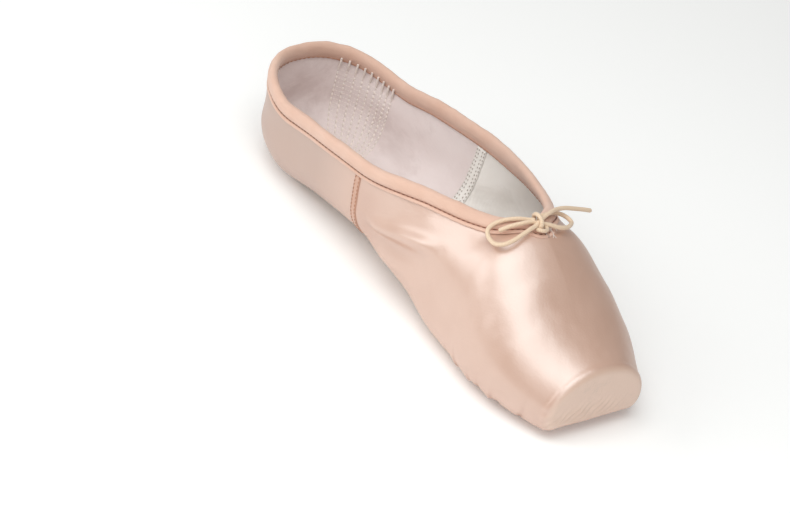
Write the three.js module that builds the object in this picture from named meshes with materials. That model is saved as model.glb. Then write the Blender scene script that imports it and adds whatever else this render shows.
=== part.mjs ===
// A satin pointe shoe, empty and unbent, standing on its leather sole.
// Millimetres, +Z up, +X towards the toe, +Y to one side. Straight-lasted: both sides are alike.
// Inside this file x runs from the back of the heel (0) to the toe platform (LENGTH).
// The finished group is shifted so that its origin lies under the middle of its box.
import * as THREE from 'three';
import { mergeVertices } from 'three/addons/utils/BufferGeometryUtils.js';

// ---- driving sizes -------------------------------------------------------------------------
const LENGTH = 232;            // heel back to platform
const HEEL_CENTRE = 44;        // the heel turns about a vertical line at this x
const THROAT = 170;            // where the two sides of the collar meet on the vamp
const SOLE_THICK = 2.5;        // leather outsole
const GAP = 0.3;               // between pieces that meet
const WALL = 1.6;              // satin, canvas and lining at the quarters
const BOX_WALL = 3.5;          // stiffened toe box
const PLATFORM_WALL = 4.5;     // end of the box
const INSOLE_THICK = 1.5;
const MARGIN = 7;              // folded lasting margin under the insole
const PLATFORM_EDGE = 3;       // edge radius of the platform
const BINDING_WIDTH = 8.8;     // from the collar's edge down to the upper's own rim
const BINDING_PROUD = 0.8;     // how far the padded casing stands off the wall, each side
const CORD = 1.9;              // drawstring diameter

// Height of the ground line under the sole: heel flat, arch, forefoot flat, toe spring.
const SOLE_LINE = {
  x: [0, 28, 60, 95, 130, 158, 190, 210, 232],
  z: [0, 0, 5.0, 8.0, 4.2, 0, 0, 0.9, 2.2],
};

// Half-sections of the last, one row for each station. Heights are above the ground line.
//   sole   half-width where the bottom starts to turn up
//   side   half-width at the widest point of the side, at height sideZ
//   flare  how far the side leans out there, in degrees
//   edge   half-width of the collar's top edge (0 where the vamp is closed), at height edgeZ
//   lean   how far the wall leans in at the top, in degrees (90 is flat)
const SECTION_COLUMNS = ['x', 'sole', 'side', 'sideZ', 'flare', 'edge', 'edgeZ', 'lean'];
const SECTION_ROWS = [
  [44, 17.5, 31.6, 21.0, 0, 32.4, 43.0, 6],
  [68, 16.0, 33.0, 21.0, 5, 34.7, 43.8, 0],
  [94, 15.5, 33.6, 21.0, 8, 35.3, 45.5, -2],
  [132, 19.5, 33.8, 20.5, 5, 25.5, 57.0, 20],
  [158, 24.5, 35.4, 20.0, 0, 14.3, 63.8, 46],
  [170, 26.0, 36.6, 19.5, 0, 0.0, 65.0, 82],
  [190, 28.0, 38.0, 18.0, 0, 0.0, 55.0, 88],
  [204, 27.5, 36.6, 16.0, 0, 0.0, 44.2, 90],
  [220, 24.5, 30.8, 12.0, 0, 0.0, 34.8, 90],
  [232, 20.5, 24.6, 9.0, 0, 0.0, 29.8, 90],
];
// The same columns, as radii from the heel centre, straight back at the heel.
const HEEL_ROW = [0, 30.0, 44.0, 22.0, 0, 43.4, 47.5, 6];
const HEEL_ROUND = 2.4;        // exponent of the heel's plan curve, 2 is an ellipse

const OUTSOLE_ROWS = [         // x, half-width
  [16.5, 6.5], [18, 10.5], [22, 14.5], [28, 17], [38, 18], [52, 17.2], [70, 15.8], [88, 15.6],
  [106, 17], [122, 19.4], [138, 22.4], [154, 25], [168, 26.6], [180, 27], [190, 26.2],
  [198, 23.8], [203, 19.8], [205.5, 14.5], [206.2, 8.5],
];
const INSOLE_ROWS = [
  [17, 5], [19, 9], [24, 13], [34, 15.5], [52, 14.8], [74, 13.9], [94, 13.9], [114, 15.4],
  [132, 17.5], [150, 21], [168, 23.6], [180, 23.6], [188, 21], [193, 16.5], [195, 10],
];

// ---- helpers -------------------------------------------------------------------------------
const OUTSIDE_ROWS = 11;       // points up each half-section, above the margin
const OPEN_COLUMNS = 17;       // columns along each side of the collar
const HEEL_COLUMNS = 8;        // columns around each half of the heel
const CLOSED_STATIONS = [184, 191, 198, 204, 211, 219, 226];
const OPENING_FRONT = 198;     // front end of the opening over the outsole
const OPENING_ROUND = 20;      // length of that opening's rounded front

const radians = THREE.MathUtils.degToRad;
const mix = (a, b, t) => a + (b - a) * t;

// A smooth curve through a table of points, which never overshoots them.
function throughTable(xs, ys) {
  const last = xs.length - 1;
  const step = xs.slice(1).map((x, i) => x - xs[i]);
  const rise = step.map((h, i) => (ys[i + 1] - ys[i]) / h);
  const slope = ys.map((_, i) => {
    if (i === 0) return rise[0];
    if (i === last) return rise[last - 1];
    if (rise[i - 1] * rise[i] <= 0) return 0;
    const a = 2 * step[i] + step[i - 1];
    const b = step[i] + 2 * step[i - 1];
    return (a + b) / (a / rise[i - 1] + b / rise[i]);
  });
  return (x) => {
    const inside = Math.min(Math.max(x, xs[0]), xs[last]);
    const i = Math.min(xs.findLastIndex((value) => value <= inside), last - 1);
    const t = (inside - xs[i]) / step[i];
    const u = 1 - t;
    return ys[i] * u * u * (1 + 2 * t) + ys[i + 1] * t * t * (3 - 2 * t)
      + step[i] * (slope[i] * t * u * u - slope[i + 1] * t * t * u);
  };
}

const soleLine = throughTable(SOLE_LINE.x, SOLE_LINE.z);
const sectionCurves = SECTION_COLUMNS.map((_, c) => throughTable(
  SECTION_ROWS.map((row) => row[0]),
  SECTION_ROWS.map((row) => row[c]),
));

function named(values) {
  return Object.fromEntries(SECTION_COLUMNS.map((name, c) => [name, values[c]]));
}

// The last's section at a distance x from the heel back.
function sectionAt(x) {
  return named(sectionCurves.map((curve) => curve(x)));
}

// The section in a half-plane through the heel centre: turn 0 is square to the side, 1 is straight back.
function heelSection(turn) {
  const angle = turn * Math.PI / 2;
  const side = sectionAt(HEEL_CENTRE);
  const back = named(HEEL_ROW);
  const share = Math.sin(angle) ** 2;
  const section = named(SECTION_COLUMNS.map((name) => mix(side[name], back[name], share)));
  for (const name of ['sole', 'side', 'edge']) {
    const across = (Math.cos(angle) / side[name]) ** HEEL_ROUND;
    const along = (Math.sin(angle) / back[name]) ** HEEL_ROUND;
    section[name] = (across + along) ** (-1 / HEEL_ROUND);
  }
  return section;
}

// A smooth quarter turn between two points [r, z]; angles are leans outward from straight up.
function turnBetween(start, startLean, end, endLean, steps) {
  const pull = 0.55;
  const [sx, sz] = [Math.sin(startLean), Math.cos(startLean)];
  const [ex, ez] = [Math.sin(endLean), Math.cos(endLean)];
  const [dx, dz] = [end[0] - start[0], end[1] - start[1]];
  const startPull = pull * (Math.abs(dx * sx) + Math.abs(dz * sz));
  const endPull = pull * (Math.abs(dx * ex) + Math.abs(dz * ez));
  const curve = new THREE.CubicBezierCurve(
    new THREE.Vector2(...start),
    new THREE.Vector2(start[0] + sx * startPull, start[1] + sz * startPull),
    new THREE.Vector2(end[0] - ex * endPull, end[1] - ez * endPull),
    new THREE.Vector2(...end),
  );
  return curve.getPoints(steps).map((p) => [p.x, p.y]);
}

// Half-section of the outside from the edge of the sole up to the collar or the top of the vamp.
function outline(section) {
  const low = [section.sole, SOLE_THICK + GAP];
  const wide = [section.side, section.sideZ];
  const top = [section.edge, section.edgeZ];
  const flare = radians(section.flare);
  const lower = turnBetween(low, Math.PI / 2, wide, flare, 24);
  const upper = turnBetween(wide, flare, top, -radians(section.lean), 40);
  return [...lower, ...upper.slice(1)];
}

// Where a half-section stands in the shoe. `turn` is null for a plain cross-section.
function place([r, z], x, turn) {
  const angle = (turn ?? 0) * Math.PI / 2;
  const px = turn === null ? x : HEEL_CENTRE - r * Math.sin(angle);
  return new THREE.Vector3(px, -r * Math.cos(angle), z + soleLine(px));
}

// Spreads `count` points evenly along a polyline of [r, z] points.
function spread(points, count) {
  const run = [0];
  for (let i = 1; i < points.length; i += 1) {
    run.push(run[i - 1] + Math.hypot(points[i][0] - points[i - 1][0], points[i][1] - points[i - 1][1]));
  }
  const total = run[run.length - 1];
  return Array.from({ length: count }, (_, k) => {
    if (k === count - 1) return [...points.at(-1)];
    const want = total * k / (count - 1);
    const i = Math.max(run.findIndex((value) => value >= want), 1);
    const t = (want - run[i - 1]) / (run[i] - run[i - 1]);
    return [mix(points[i - 1][0], points[i][0], t), mix(points[i - 1][1], points[i][1], t)];
  });
}

// Unit normals of a polyline of [r, z] points, pointing out of the shoe.
function outward(points) {
  return points.map((_, i) => {
    const a = points[Math.max(i - 1, 0)];
    const b = points[Math.min(i + 1, points.length - 1)];
    const length = Math.hypot(b[0] - a[0], b[1] - a[1]);
    return [(b[1] - a[1]) / length, -(b[0] - a[0]) / length];
  });
}

function distanceToPath(point, path) {
  const near = new THREE.Vector3();
  const line = new THREE.Line3();
  return path.slice(1).reduce((best, end, i) => {
    line.set(path[i], end).closestPointToPoint(point, true, near);
    return Math.min(best, near.distanceTo(point));
  }, Infinity);
}

// ---- the collar ----------------------------------------------------------------------------
// Columns of the open part, from `front` back to the heel and around to the middle of the heel.
function openColumns(front) {
  const sides = Array.from({ length: OPEN_COLUMNS }, (_, i) => {
    const share = 1 - (i / OPEN_COLUMNS) ** 1.4;
    return { x: mix(HEEL_CENTRE, front, share), turn: null };
  });
  const heel = Array.from({ length: HEEL_COLUMNS + 1 }, (_, i) => (
    { x: HEEL_CENTRE, turn: i / HEEL_COLUMNS }
  ));
  return [...sides, ...heel];
}

function columnOutline({ x, turn }) {
  return outline(turn === null ? sectionAt(x) : heelSection(turn));
}

const mirrored = (points) => points.map((p) => new THREE.Vector3(p.x, -p.y, p.z));

// The top edge of the binding, down one side and back up the other.
const edgeLine = openColumns(THROAT).map((column) => (
  place(columnOutline(column).at(-1), column.x, column.turn)
));
const collarEdge = [...edgeLine, ...mirrored(edgeLine).reverse()];

// The upper's own rim lies one binding width below that edge, also ahead of the throat.
function rimFront() {
  let [near, far] = [THROAT, THROAT + 2 * BINDING_WIDTH];
  while (far - near > 0.001) {
    const middle = (near + far) / 2;
    const crown = place([0, sectionAt(middle).edgeZ], middle, null);
    if (distanceToPath(crown, collarEdge) < BINDING_WIDTH) near = middle;
    else far = middle;
  }
  return far;
}
const RIM_FRONT = rimFront();

// Cuts a half-section off where it comes within a binding width of the collar's edge.
function belowBinding(points, column) {
  const clear = points.map((p) => (
    distanceToPath(place(p, column.x, column.turn), collarEdge) - BINDING_WIDTH
  ));
  const last = clear.findLastIndex((distance) => distance >= 0);
  if (last === points.length - 1) return points;
  const t = clear[last] / (clear[last] - clear[last + 1]);
  const cut = [0, 1].map((k) => mix(points[last][k], points[last + 1][k], t));
  return [...points.slice(0, last + 1), cut];
}

// ---- the upper -----------------------------------------------------------------------------
function toeColumns() {
  const edge = [90, 60, 30, 0].map((degrees) => {
    const angle = radians(degrees);
    return {
      x: LENGTH - PLATFORM_EDGE * (1 - Math.sin(angle)),
      turn: null,
      inset: PLATFORM_EDGE * (1 - Math.cos(angle)),
      back: mix(3, PLATFORM_WALL, Math.sin(angle)),
    };
  });
  const plain = CLOSED_STATIONS.toReversed().map((x) => ({ x, turn: null }));
  return [...edge, ...plain];
}

function openingHalfWidth({ x, turn }, sole) {
  if (turn === null && x >= OPENING_FRONT) return 0;
  const past = Math.max(x - (OPENING_FRONT - OPENING_ROUND), 0) / OPENING_ROUND;
  return (sole - MARGIN) * Math.sqrt(1 - past * past);
}

// The outer and inner points of one column, from the opening under the sole up to the rim.
function upperColumn(column, closed) {
  const { x, turn, inset = 0, back = 0 } = column;
  const full = columnOutline({ x: Math.min(x, LENGTH - PLATFORM_EDGE), turn });
  const normals = outward(full);
  const shrunk = full.map((p, i) => [p[0] - normals[i][0] * inset, p[1] - normals[i][1] * inset]);
  const cut = closed ? shrunk : belowBinding(shrunk, column);
  const rows = spread(cut, OUTSIDE_ROWS);
  rows.unshift([openingHalfWidth(column, rows[0][0]), rows[0][1]]);
  if (closed) rows.at(-1)[0] = 0;

  const box = THREE.MathUtils.smoothstep(x, RIM_FRONT, OPENING_FRONT);
  const wall = mix(WALL, BOX_WALL, box);
  const out = outward(rows);
  const inner = rows.map(([r, z], j) => {
    const thick = x > OPENING_FRONT ? wall : mix(WALL, wall, Math.min(j / 4, 1));
    return [r - out[j][0] * thick, z - out[j][1] * thick];
  });
  if (rows[0][0] === 0) inner[0][0] = 0;
  if (closed) inner.at(-1)[0] = 0;
  return {
    outer: rows.map((p) => place(p, x, turn)),
    inner: inner.map((p) => place(p, x - back, turn)),
  };
}

// ---- solids from points --------------------------------------------------------------------
class Facets {
  constructor() {
    this.points = [];
  }

  triangle(a, b, c) {
    const flat = a.distanceTo(b) < 1e-4 || b.distanceTo(c) < 1e-4 || c.distanceTo(a) < 1e-4;
    if (!flat) this.points.push(a, b, c);
  }

  quad(a, b, c, d) {
    this.triangle(a, b, c);
    this.triangle(a, c, d);
  }

  fan(loop) {
    const middle = loop.reduce((sum, p) => sum.add(p), new THREE.Vector3()).divideScalar(loop.length);
    loop.forEach((p, i) => this.triangle(middle, p, loop[(i + 1) % loop.length]));
  }

  // A skin between two loops of points with the same count.
  bridge(loop, next) {
    loop.forEach((p, i) => {
      const k = (i + 1) % loop.length;
      this.quad(p, loop[k], next[k], next[i]);
    });
  }

  geometry() {
    return mergeVertices(new THREE.BufferGeometry().setFromPoints(this.points), 1e-4);
  }
}

function upperGeometry() {
  const columns = [
    ...toeColumns().map((column) => upperColumn(column, true)),
    ...openColumns(RIM_FRONT).map((column, i) => upperColumn(column, i === 0)),
  ];
  const farSide = columns.slice(0, -1).reverse().map(({ outer, inner }) => (
    { outer: mirrored(outer), inner: mirrored(inner) }
  ));
  const all = [...columns, ...farSide];
  const facets = new Facets();
  for (let i = 0; i + 1 < all.length; i += 1) {
    const [a, b] = [all[i], all[i + 1]];
    const top = a.outer.length - 1;
    for (let j = 0; j < top; j += 1) {
      facets.quad(a.outer[j], a.outer[j + 1], b.outer[j + 1], b.outer[j]);
      facets.quad(b.inner[j], b.inner[j + 1], a.inner[j + 1], a.inner[j]);
    }
    const closedTop = a.outer[top].y === 0 && b.outer[top].y === 0;
    const closedBottom = a.outer[0].y === 0 && b.outer[0].y === 0;
    if (!closedTop) facets.quad(a.outer[top], a.inner[top], b.inner[top], b.outer[top]);
    if (!closedBottom) facets.quad(a.outer[0], b.outer[0], b.inner[0], a.inner[0]);
  }
  const [near, far] = [all[0], all.at(-1)];
  const ring = (side) => [...near[side], ...far[side].slice(1, -1).reverse()];
  facets.fan(ring('outer').reverse());
  facets.fan(ring('inner'));
  return facets.geometry();
}

// ---- the padded binding --------------------------------------------------------------------
// Its section: `down` from the edge (0) to the upper's rim (1), `out` from the wall's outside.
const BINDING_SECTION = [
  [0.00, 0.1], [0.16, BINDING_PROUD], [0.84, BINDING_PROUD], [1.00, 0.2],
  [1.00, -WALL - 0.2], [0.84, -WALL - BINDING_PROUD], [0.16, -WALL - BINDING_PROUD], [0.00, -WALL - 0.1],
];

function bindingRing(edgeColumn, rimColumn, first) {
  const profile = columnOutline(edgeColumn);
  const tipOut = outward(profile).at(-1);
  const tip = place(profile.at(-1), edgeColumn.x, edgeColumn.turn);
  const inside = [profile.at(-1)[0] - tipOut[0], profile.at(-1)[1] - tipOut[1]];
  const tipNormal = tip.clone().sub(place(inside, edgeColumn.x, edgeColumn.turn));
  const rim = upperColumn(rimColumn, first);
  const foot = rim.outer.at(-1);
  const footNormal = foot.clone().sub(rim.inner.at(-1)).normalize();
  const reach = 1 - GAP / foot.distanceTo(tip);
  return BINDING_SECTION.map(([down, out]) => {
    const t = down * reach;
    const normal = tipNormal.clone().lerp(footNormal, t).normalize();
    const point = tip.clone().lerp(foot, t).addScaledVector(normal, out);
    if (first) point.y = 0;
    return point;
  });
}

function bindingGeometry() {
  const rims = openColumns(RIM_FRONT);
  const near = openColumns(THROAT).map((column, i) => bindingRing(column, rims[i], i === 0));
  const far = near.slice(1, -1).reverse().map(mirrored);
  const rings = [...near, ...far];
  const facets = new Facets();
  rings.forEach((ring, i) => facets.bridge(rings[(i + 1) % rings.length], ring));
  return facets.geometry();
}

// ---- outsole and insole --------------------------------------------------------------------
// A thin board that follows the ground line, `low` above it.
function boardGeometry(rows, low, thick, chamfer) {
  const halfWidth = throughTable(rows.map((row) => row[0]), rows.map((row) => row[1]));
  const stations = [];
  rows.slice(1).forEach(([x], i) => {
    const from = rows[i][0];
    const parts = Math.ceil((x - from) / 8);
    for (let k = 0; k < parts; k += 1) stations.push(mix(from, x, k / parts));
  });
  stations.push(rows.at(-1)[0]);
  const rings = stations.map((x) => {
    const h = halfWidth(x);
    const base = soleLine(x) + low;
    const section = [
      [-h, chamfer], [-h + chamfer, 0], [h - chamfer, 0], [h, chamfer], [h, thick], [-h, thick],
    ];
    return section.map(([y, z]) => new THREE.Vector3(x, y, base + z));
  });
  const facets = new Facets();
  rings.slice(1).forEach((ring, i) => facets.bridge(rings[i], ring));
  facets.fan(rings[0].toReversed());
  facets.fan(rings.at(-1));
  return facets.geometry();
}

// ---- the drawstring's bow ------------------------------------------------------------------
// It lies loosely on the vamp in front of the throat: x from the heel back, y, z.
const KNOT = { centre: [171.2, -2.0, 68.2], radii: [3.7, 2.5, 2.1] };
const BOW_ROUTES = {
  drawstring_loop_near: [
    [168.8, -5.0, 67.0], [166.6, -8.8, 66.8], [164.2, -13.2, 65.5], [162.6, -17.4, 63.4],
    [163.0, -20.6, 61.4], [166.0, -22.4, 60.1], [170.4, -22.6, 59.8], [173.8, -20.6, 61.1],
    [175.2, -16.8, 63.2], [174.9, -12.2, 65.1], [174.3, -8.2, 66.4], [173.6, -5.2, 66.9],
  ],
  drawstring_end_near: [
    [171.2, -5.2, 67.6], [170.4, -8.6, 67.2], [169.2, -12.2, 66.1], [167.9, -15.4, 64.5],
    [166.8, -18.2, 62.7],
  ],
  drawstring_loop_far: [
    [168.8, 1.0, 67.3], [168.4, 4.5, 67.2], [167.2, 9.0, 66.3], [166.6, 13.5, 64.8],
    [168.4, 16.8, 63.6], [172.0, 17.2, 63.2], [174.8, 14.0, 63.9], [176.4, 10.4, 64.8],
    [176.4, 6.8, 65.6], [175.2, 3.4, 66.5], [173.9, 1.0, 66.9],
  ],
  drawstring_end_far: [
    [171.2, 1.1, 68.8], [170.2, 5.0, 69.4], [168.6, 10.0, 69.0], [168.0, 15.5, 68.1],
    [168.3, 20.5, 66.9], [168.4, 25.5, 65.5], [168.5, 30.5, 63.9],
  ],
};
const CORD_SIDES = 8;

function cordGeometry(route) {
  const path = new THREE.CatmullRomCurve3(route.map((p) => new THREE.Vector3(...p)));
  const round = Array.from({ length: CORD_SIDES }, (_, i) => {
    const angle = 2 * Math.PI * i / CORD_SIDES;
    return new THREE.Vector2(Math.cos(angle), Math.sin(angle)).multiplyScalar(CORD / 2);
  });
  const steps = Math.round(path.getLength() / (1.6 * CORD));
  return new THREE.ExtrudeGeometry(new THREE.Shape(round), { steps, extrudePath: path });
}

function knotGeometry() {
  const knot = new THREE.SphereGeometry(1, 12, 8);
  return knot.scale(...KNOT.radii).translate(...KNOT.centre);
}

// ---- the shoe ------------------------------------------------------------------------------
const satin = new THREE.MeshStandardMaterial({ color: '#e6cbbd', roughness: 0.45, metalness: 0 });
const ribbon = new THREE.MeshStandardMaterial({ color: '#e7c2aa', roughness: 0.6, metalness: 0 });
const canvas = new THREE.MeshStandardMaterial({ color: '#d8cdc6', roughness: 0.9, metalness: 0 });
const suede = new THREE.MeshStandardMaterial({ color: '#a37c5c', roughness: 0.85, metalness: 0 });
const cotton = new THREE.MeshStandardMaterial({ color: '#e6cdac', roughness: 0.8, metalness: 0 });

function piece(name, geometry, material) {
  geometry.computeVertexNormals();
  const mesh = new THREE.Mesh(geometry, material);
  mesh.name = name;
  return mesh;
}

const insoleLow = SOLE_THICK + GAP + WALL + GAP;
const body = [
  piece('upper', upperGeometry(), satin),
  piece('collar_binding', bindingGeometry(), ribbon),
  piece('insole', boardGeometry(INSOLE_ROWS, insoleLow, INSOLE_THICK, 0.3), canvas),
  piece('outsole', boardGeometry(OUTSOLE_ROWS, 0, SOLE_THICK, 0.6), suede),
];

const bow = Object.entries(BOW_ROUTES).map(([name, route]) => (
  piece(name, cordGeometry(route), cotton)
));
bow.push(piece('drawstring_knot', knotGeometry(), cotton));

const shoe = new THREE.Group();
shoe.add(...body);
const middle = new THREE.Box3().setFromObject(shoe).getCenter(new THREE.Vector3());
shoe.add(...bow);
shoe.position.x = -middle.x;

export default shoe;
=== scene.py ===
# %% [markdown]
# # A satin pointe shoe
# A pointe shoe is a slipper of satin over canvas. Its toe is stiffened with paste, so that a dancer can
# stand on the flat end. The collar is bound with a padded tape that holds a drawstring, and a small
# leather sole closes the bottom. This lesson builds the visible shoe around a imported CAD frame, which
# already fixes the place and size of each part. The frame is loaded first, and its box is kept.

# %% Load the frame
import math

import bmesh
import bpy
import numpy as np
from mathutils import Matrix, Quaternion, Vector


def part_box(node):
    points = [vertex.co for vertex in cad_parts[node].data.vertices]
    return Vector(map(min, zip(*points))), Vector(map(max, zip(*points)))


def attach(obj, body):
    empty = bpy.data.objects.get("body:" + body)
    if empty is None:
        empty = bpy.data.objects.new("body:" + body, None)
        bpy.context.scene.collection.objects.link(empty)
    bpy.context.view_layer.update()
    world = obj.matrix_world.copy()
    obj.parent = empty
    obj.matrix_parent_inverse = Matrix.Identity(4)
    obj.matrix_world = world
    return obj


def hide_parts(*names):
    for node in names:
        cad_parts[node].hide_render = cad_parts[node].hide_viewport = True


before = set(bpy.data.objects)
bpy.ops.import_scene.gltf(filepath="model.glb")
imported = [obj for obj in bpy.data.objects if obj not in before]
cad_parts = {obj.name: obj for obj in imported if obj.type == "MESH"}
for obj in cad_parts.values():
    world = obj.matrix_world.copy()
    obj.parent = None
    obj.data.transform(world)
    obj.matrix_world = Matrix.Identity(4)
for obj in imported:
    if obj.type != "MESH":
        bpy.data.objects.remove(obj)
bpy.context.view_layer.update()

# %% [markdown]
# ## Sizes
# The upper, binding, sole and bow all follow a few sizes, which are the shoe's own and are in
# millimetres. In them x runs from the back of the heel to the flat toe, -y is the side nearest to the
# camera, and z is the height above the floor. One helper turns them into the frame's metres.

# %% Driving sizes and the way back to metres
LENGTH = 232.0  # from the back of the heel to the flat toe
HEEL_CENTRE = 44.0  # the heel is drawn round an upright axis here
HEEL_ROUND = 2.4  # from above, 2 is an ellipse and more is squarer
THROAT = 170.0  # where the two sides of the collar meet
SOLE_THICK = 2.5
GAP = 0.3  # left between glued parts
PLATFORM_EDGE = 4.2  # rounding of the flat toe's rim
BINDING_WIDTH = 8.8
CORD = 1.9  # diameter of the drawstring
SEAM_X = 94.0  # the side seams
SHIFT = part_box("upper")[1].x * 1000 - LENGTH


def metres(points):
    """Shoe millimetres to the frame's metres."""
    return (np.asarray(points, float) + [SHIFT, 0, 0]) / 1000


print("The heel's back is at x =", round(SHIFT, 2), "mm in the frame")

# %% [markdown]
# ## Camera
# The camera looks down at the toe from the front of one side and is rolled, so the shoe lies aslant in
# the view. It is stated as a turn, a height, a roll and a distance from a point inside the shoe, so
# each number can be changed alone.

# %% Camera
AIM = (113.2, -19.8, 12.0)
AZIMUTH, ELEVATION, ROLL = 45.47, 33.42, 15.58
DISTANCE = 1.6078
LENS = 169.5

turn, rise = math.radians(AZIMUTH), math.radians(ELEVATION)
back = Vector((math.sin(turn) * math.cos(rise), -math.cos(turn) * math.cos(rise), math.sin(rise)))
camera = bpy.data.objects.new("camera", bpy.data.cameras.new("camera"))
camera.data.lens = LENS
camera.location = Vector(metres(AIM)) + back * DISTANCE
level = (-back).to_track_quat("-Z", "Y")
camera.rotation_mode = "QUATERNION"
camera.rotation_quaternion = level @ Quaternion((0, 0, 1), math.radians(ROLL))
bpy.context.scene.collection.objects.link(camera)
bpy.context.scene.camera = camera
print("Camera height above the floor:", round(camera.location.z, 3), "m")

# %% [markdown]
# ## The last
# Every part of the upper is drawn round one last, the wooden form that a shoemaker pulls the satin
# over. A table gives its half-section at a few stations, and smooth curves through the table give it
# everywhere. Lofting such sections is the shortest way to a form that is true from all sides.

# %% Sections of the last
SOLE_LINE = ([0, 28, 60, 95, 130, 158, 190, 210, 232], [0, 0, 5.0, 8.0, 4.2, 0, 0, 0.9, 2.2])
# x, half-width of the sole, widest half-width, its height, flare there, edge half-width, its height, lean
SECTION_ROWS = np.array([
    [44, 17.5, 31.6, 21.0, 0, 32.4, 43.0, 6],
    [68, 16.0, 33.0, 21.0, 5, 34.7, 43.8, 0],
    [94, 15.5, 33.6, 21.0, 8, 35.3, 45.5, -2],
    [132, 19.5, 33.8, 20.5, 5, 25.5, 57.0, 20],
    [158, 24.5, 35.4, 20.0, 0, 14.3, 63.8, 46],
    [170, 26.0, 36.6, 19.5, 0, 0.0, 65.0, 82],
    [190, 28.0, 38.0, 18.0, 0, 0.0, 55.0, 88],
    [204, 27.5, 36.6, 16.0, 0, 0.0, 44.2, 90],
    [220, 24.5, 30.8, 12.0, 0, 0.0, 34.8, 90],
    [232, 20.5, 24.6, 9.0, 0, 0.0, 29.8, 90],
])
HEEL_ROW = np.array([30.0, 44.0, 22.0, 0, 43.4, 47.5, 6])  # radii from the heel centre, straight back
print("Stations along the shoe:", len(SECTION_ROWS))

# %% [markdown]
# ## Smooth curves through the table
# Between the stations every size has to change smoothly, and it must never swing past its table, or the
# shoe would get bumps that nobody drew. A cubic whose slopes are limited at each station does that in a
# few lines of numpy.

# %% Curves through a table


def through_table(xs, ys):
    """A smooth curve through a table of points, which never overshoots them."""
    xs, ys = np.array(xs, float), np.array(ys, float)
    step = np.diff(xs)
    rises = np.diff(ys) / step
    slope = np.concatenate([rises[:1], np.zeros(len(xs) - 2), rises[-1:]])
    for i in range(1, len(xs) - 1):
        before, after = rises[i - 1], rises[i]
        if before * after > 0:
            a, b = 2 * step[i] + step[i - 1], step[i] + 2 * step[i - 1]
            slope[i] = (a + b) / (a / before + b / after)

    def curve(x):
        x = np.clip(x, xs[0], xs[-1])
        i = np.clip(np.searchsorted(xs, x, side="right") - 1, 0, len(step) - 1)
        t = (x - xs[i]) / step[i]
        u = 1 - t
        ends = ys[i] * u * u * (1 + 2 * t) + ys[i + 1] * t * t * (3 - 2 * t)
        return ends + step[i] * (slope[i] * t * u * u - slope[i + 1] * t * t * u)

    return curve


sole_line = through_table(*SOLE_LINE)
section_curves = [through_table(SECTION_ROWS[:, 0], SECTION_ROWS[:, k]) for k in range(1, 8)]
print("Lift of the arch at the side seam:", round(float(sole_line(SEAM_X)), 1), "mm")

# %% [markdown]
# ## From sizes to half-sections
# A half-section starts at the edge of the sole, swells to the widest place and comes in again to the
# collar or the crown. Two cubic arcs draw it, and each leaves and arrives at a given lean. Round the
# heel the sizes pass from the side's to the back's, which gives the shoe its rounded end.

# %% Half-sections
LOWER_STEPS, UPPER_STEPS = 24, 40
ARC_PULL = 0.55  # how strongly an arc follows its two leans


def sections(x, turn):
    """A row of section sizes for each column; turn is 0 at the side and 1 straight back at the heel."""
    side = np.stack([curve(x) for curve in section_curves], 1)
    angle = (turn * math.pi / 2)[:, None]
    rows = side + (HEEL_ROW - side) * np.sin(angle) ** 2
    with np.errstate(divide="ignore"):
        for k in (0, 1, 4):
            across = (np.cos(angle[:, 0]) / side[:, k]) ** HEEL_ROUND
            along = (np.sin(angle[:, 0]) / HEEL_ROW[k]) ** HEEL_ROUND
            rows[:, k] = (across + along) ** (-1 / HEEL_ROUND)
    return rows


def quarter_turn(start, start_lean, end, end_lean, steps):
    """Curves between points [r, z] that leave and arrive at the given leans from straight up."""
    s = np.stack([np.sin(start_lean), np.cos(start_lean)], -1)
    e = np.stack([np.sin(end_lean), np.cos(end_lean)], -1)
    near = start + s * (ARC_PULL * np.abs((end - start) * s).sum(-1))[:, None]
    far = end - e * (ARC_PULL * np.abs((end - start) * e).sum(-1))[:, None]
    t = np.linspace(0, 1, steps + 1)[None, :, None]
    u = 1 - t
    inner = 3 * u * u * t * near[:, None] + 3 * u * t * t * far[:, None]
    return u**3 * start[:, None] + inner + t**3 * end[:, None]


def outlines(rows):
    """The outside of each half-section, from the edge of the sole up to the collar or the crown."""
    low = np.stack([rows[:, 0], np.full(len(rows), SOLE_THICK + GAP)], -1)
    flare, lean = np.radians(rows[:, 3]), np.radians(rows[:, 6])
    lower = quarter_turn(low, np.full(len(rows), math.pi / 2), rows[:, 1:3], flare, LOWER_STEPS)
    upper = quarter_turn(rows[:, 1:3], flare, rows[:, 4:6], -lean, UPPER_STEPS)
    return np.concatenate([lower, upper[:, 1:]], 1)


def outward(rz):
    """Unit normals of half-sections, pointing out of the shoe."""
    ends = np.concatenate([rz[:, :1], rz, rz[:, -1:]], 1)
    along = ends[:, 2:] - ends[:, :-2]
    return np.stack([along[..., 1], -along[..., 0]], -1) / np.linalg.norm(along, axis=-1)[..., None]


print("Points up a half-section:", LOWER_STEPS + UPPER_STEPS + 1)

# %% [markdown]
# ## The collar's edge
# Each half-section is set up at its station, or turned round the heel's axis, and so becomes points on
# the shoe. The top points of the open sections make the collar's edge. The binding, the satin and the
# linings are all cut at a distance from that edge, as a maker trims them.

# %% Collar's edge


def place(rz, x, turn):
    """Half-section points [r, z] to shoe points, on the side nearest to the camera."""
    angle = (turn * math.pi / 2)[:, None]
    px = np.where(turn[:, None] > 0, HEEL_CENTRE - rz[..., 0] * np.sin(angle), x[:, None])
    return np.stack([px, -rz[..., 0] * np.cos(angle), rz[..., 1] + sole_line(px)], -1)


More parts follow.
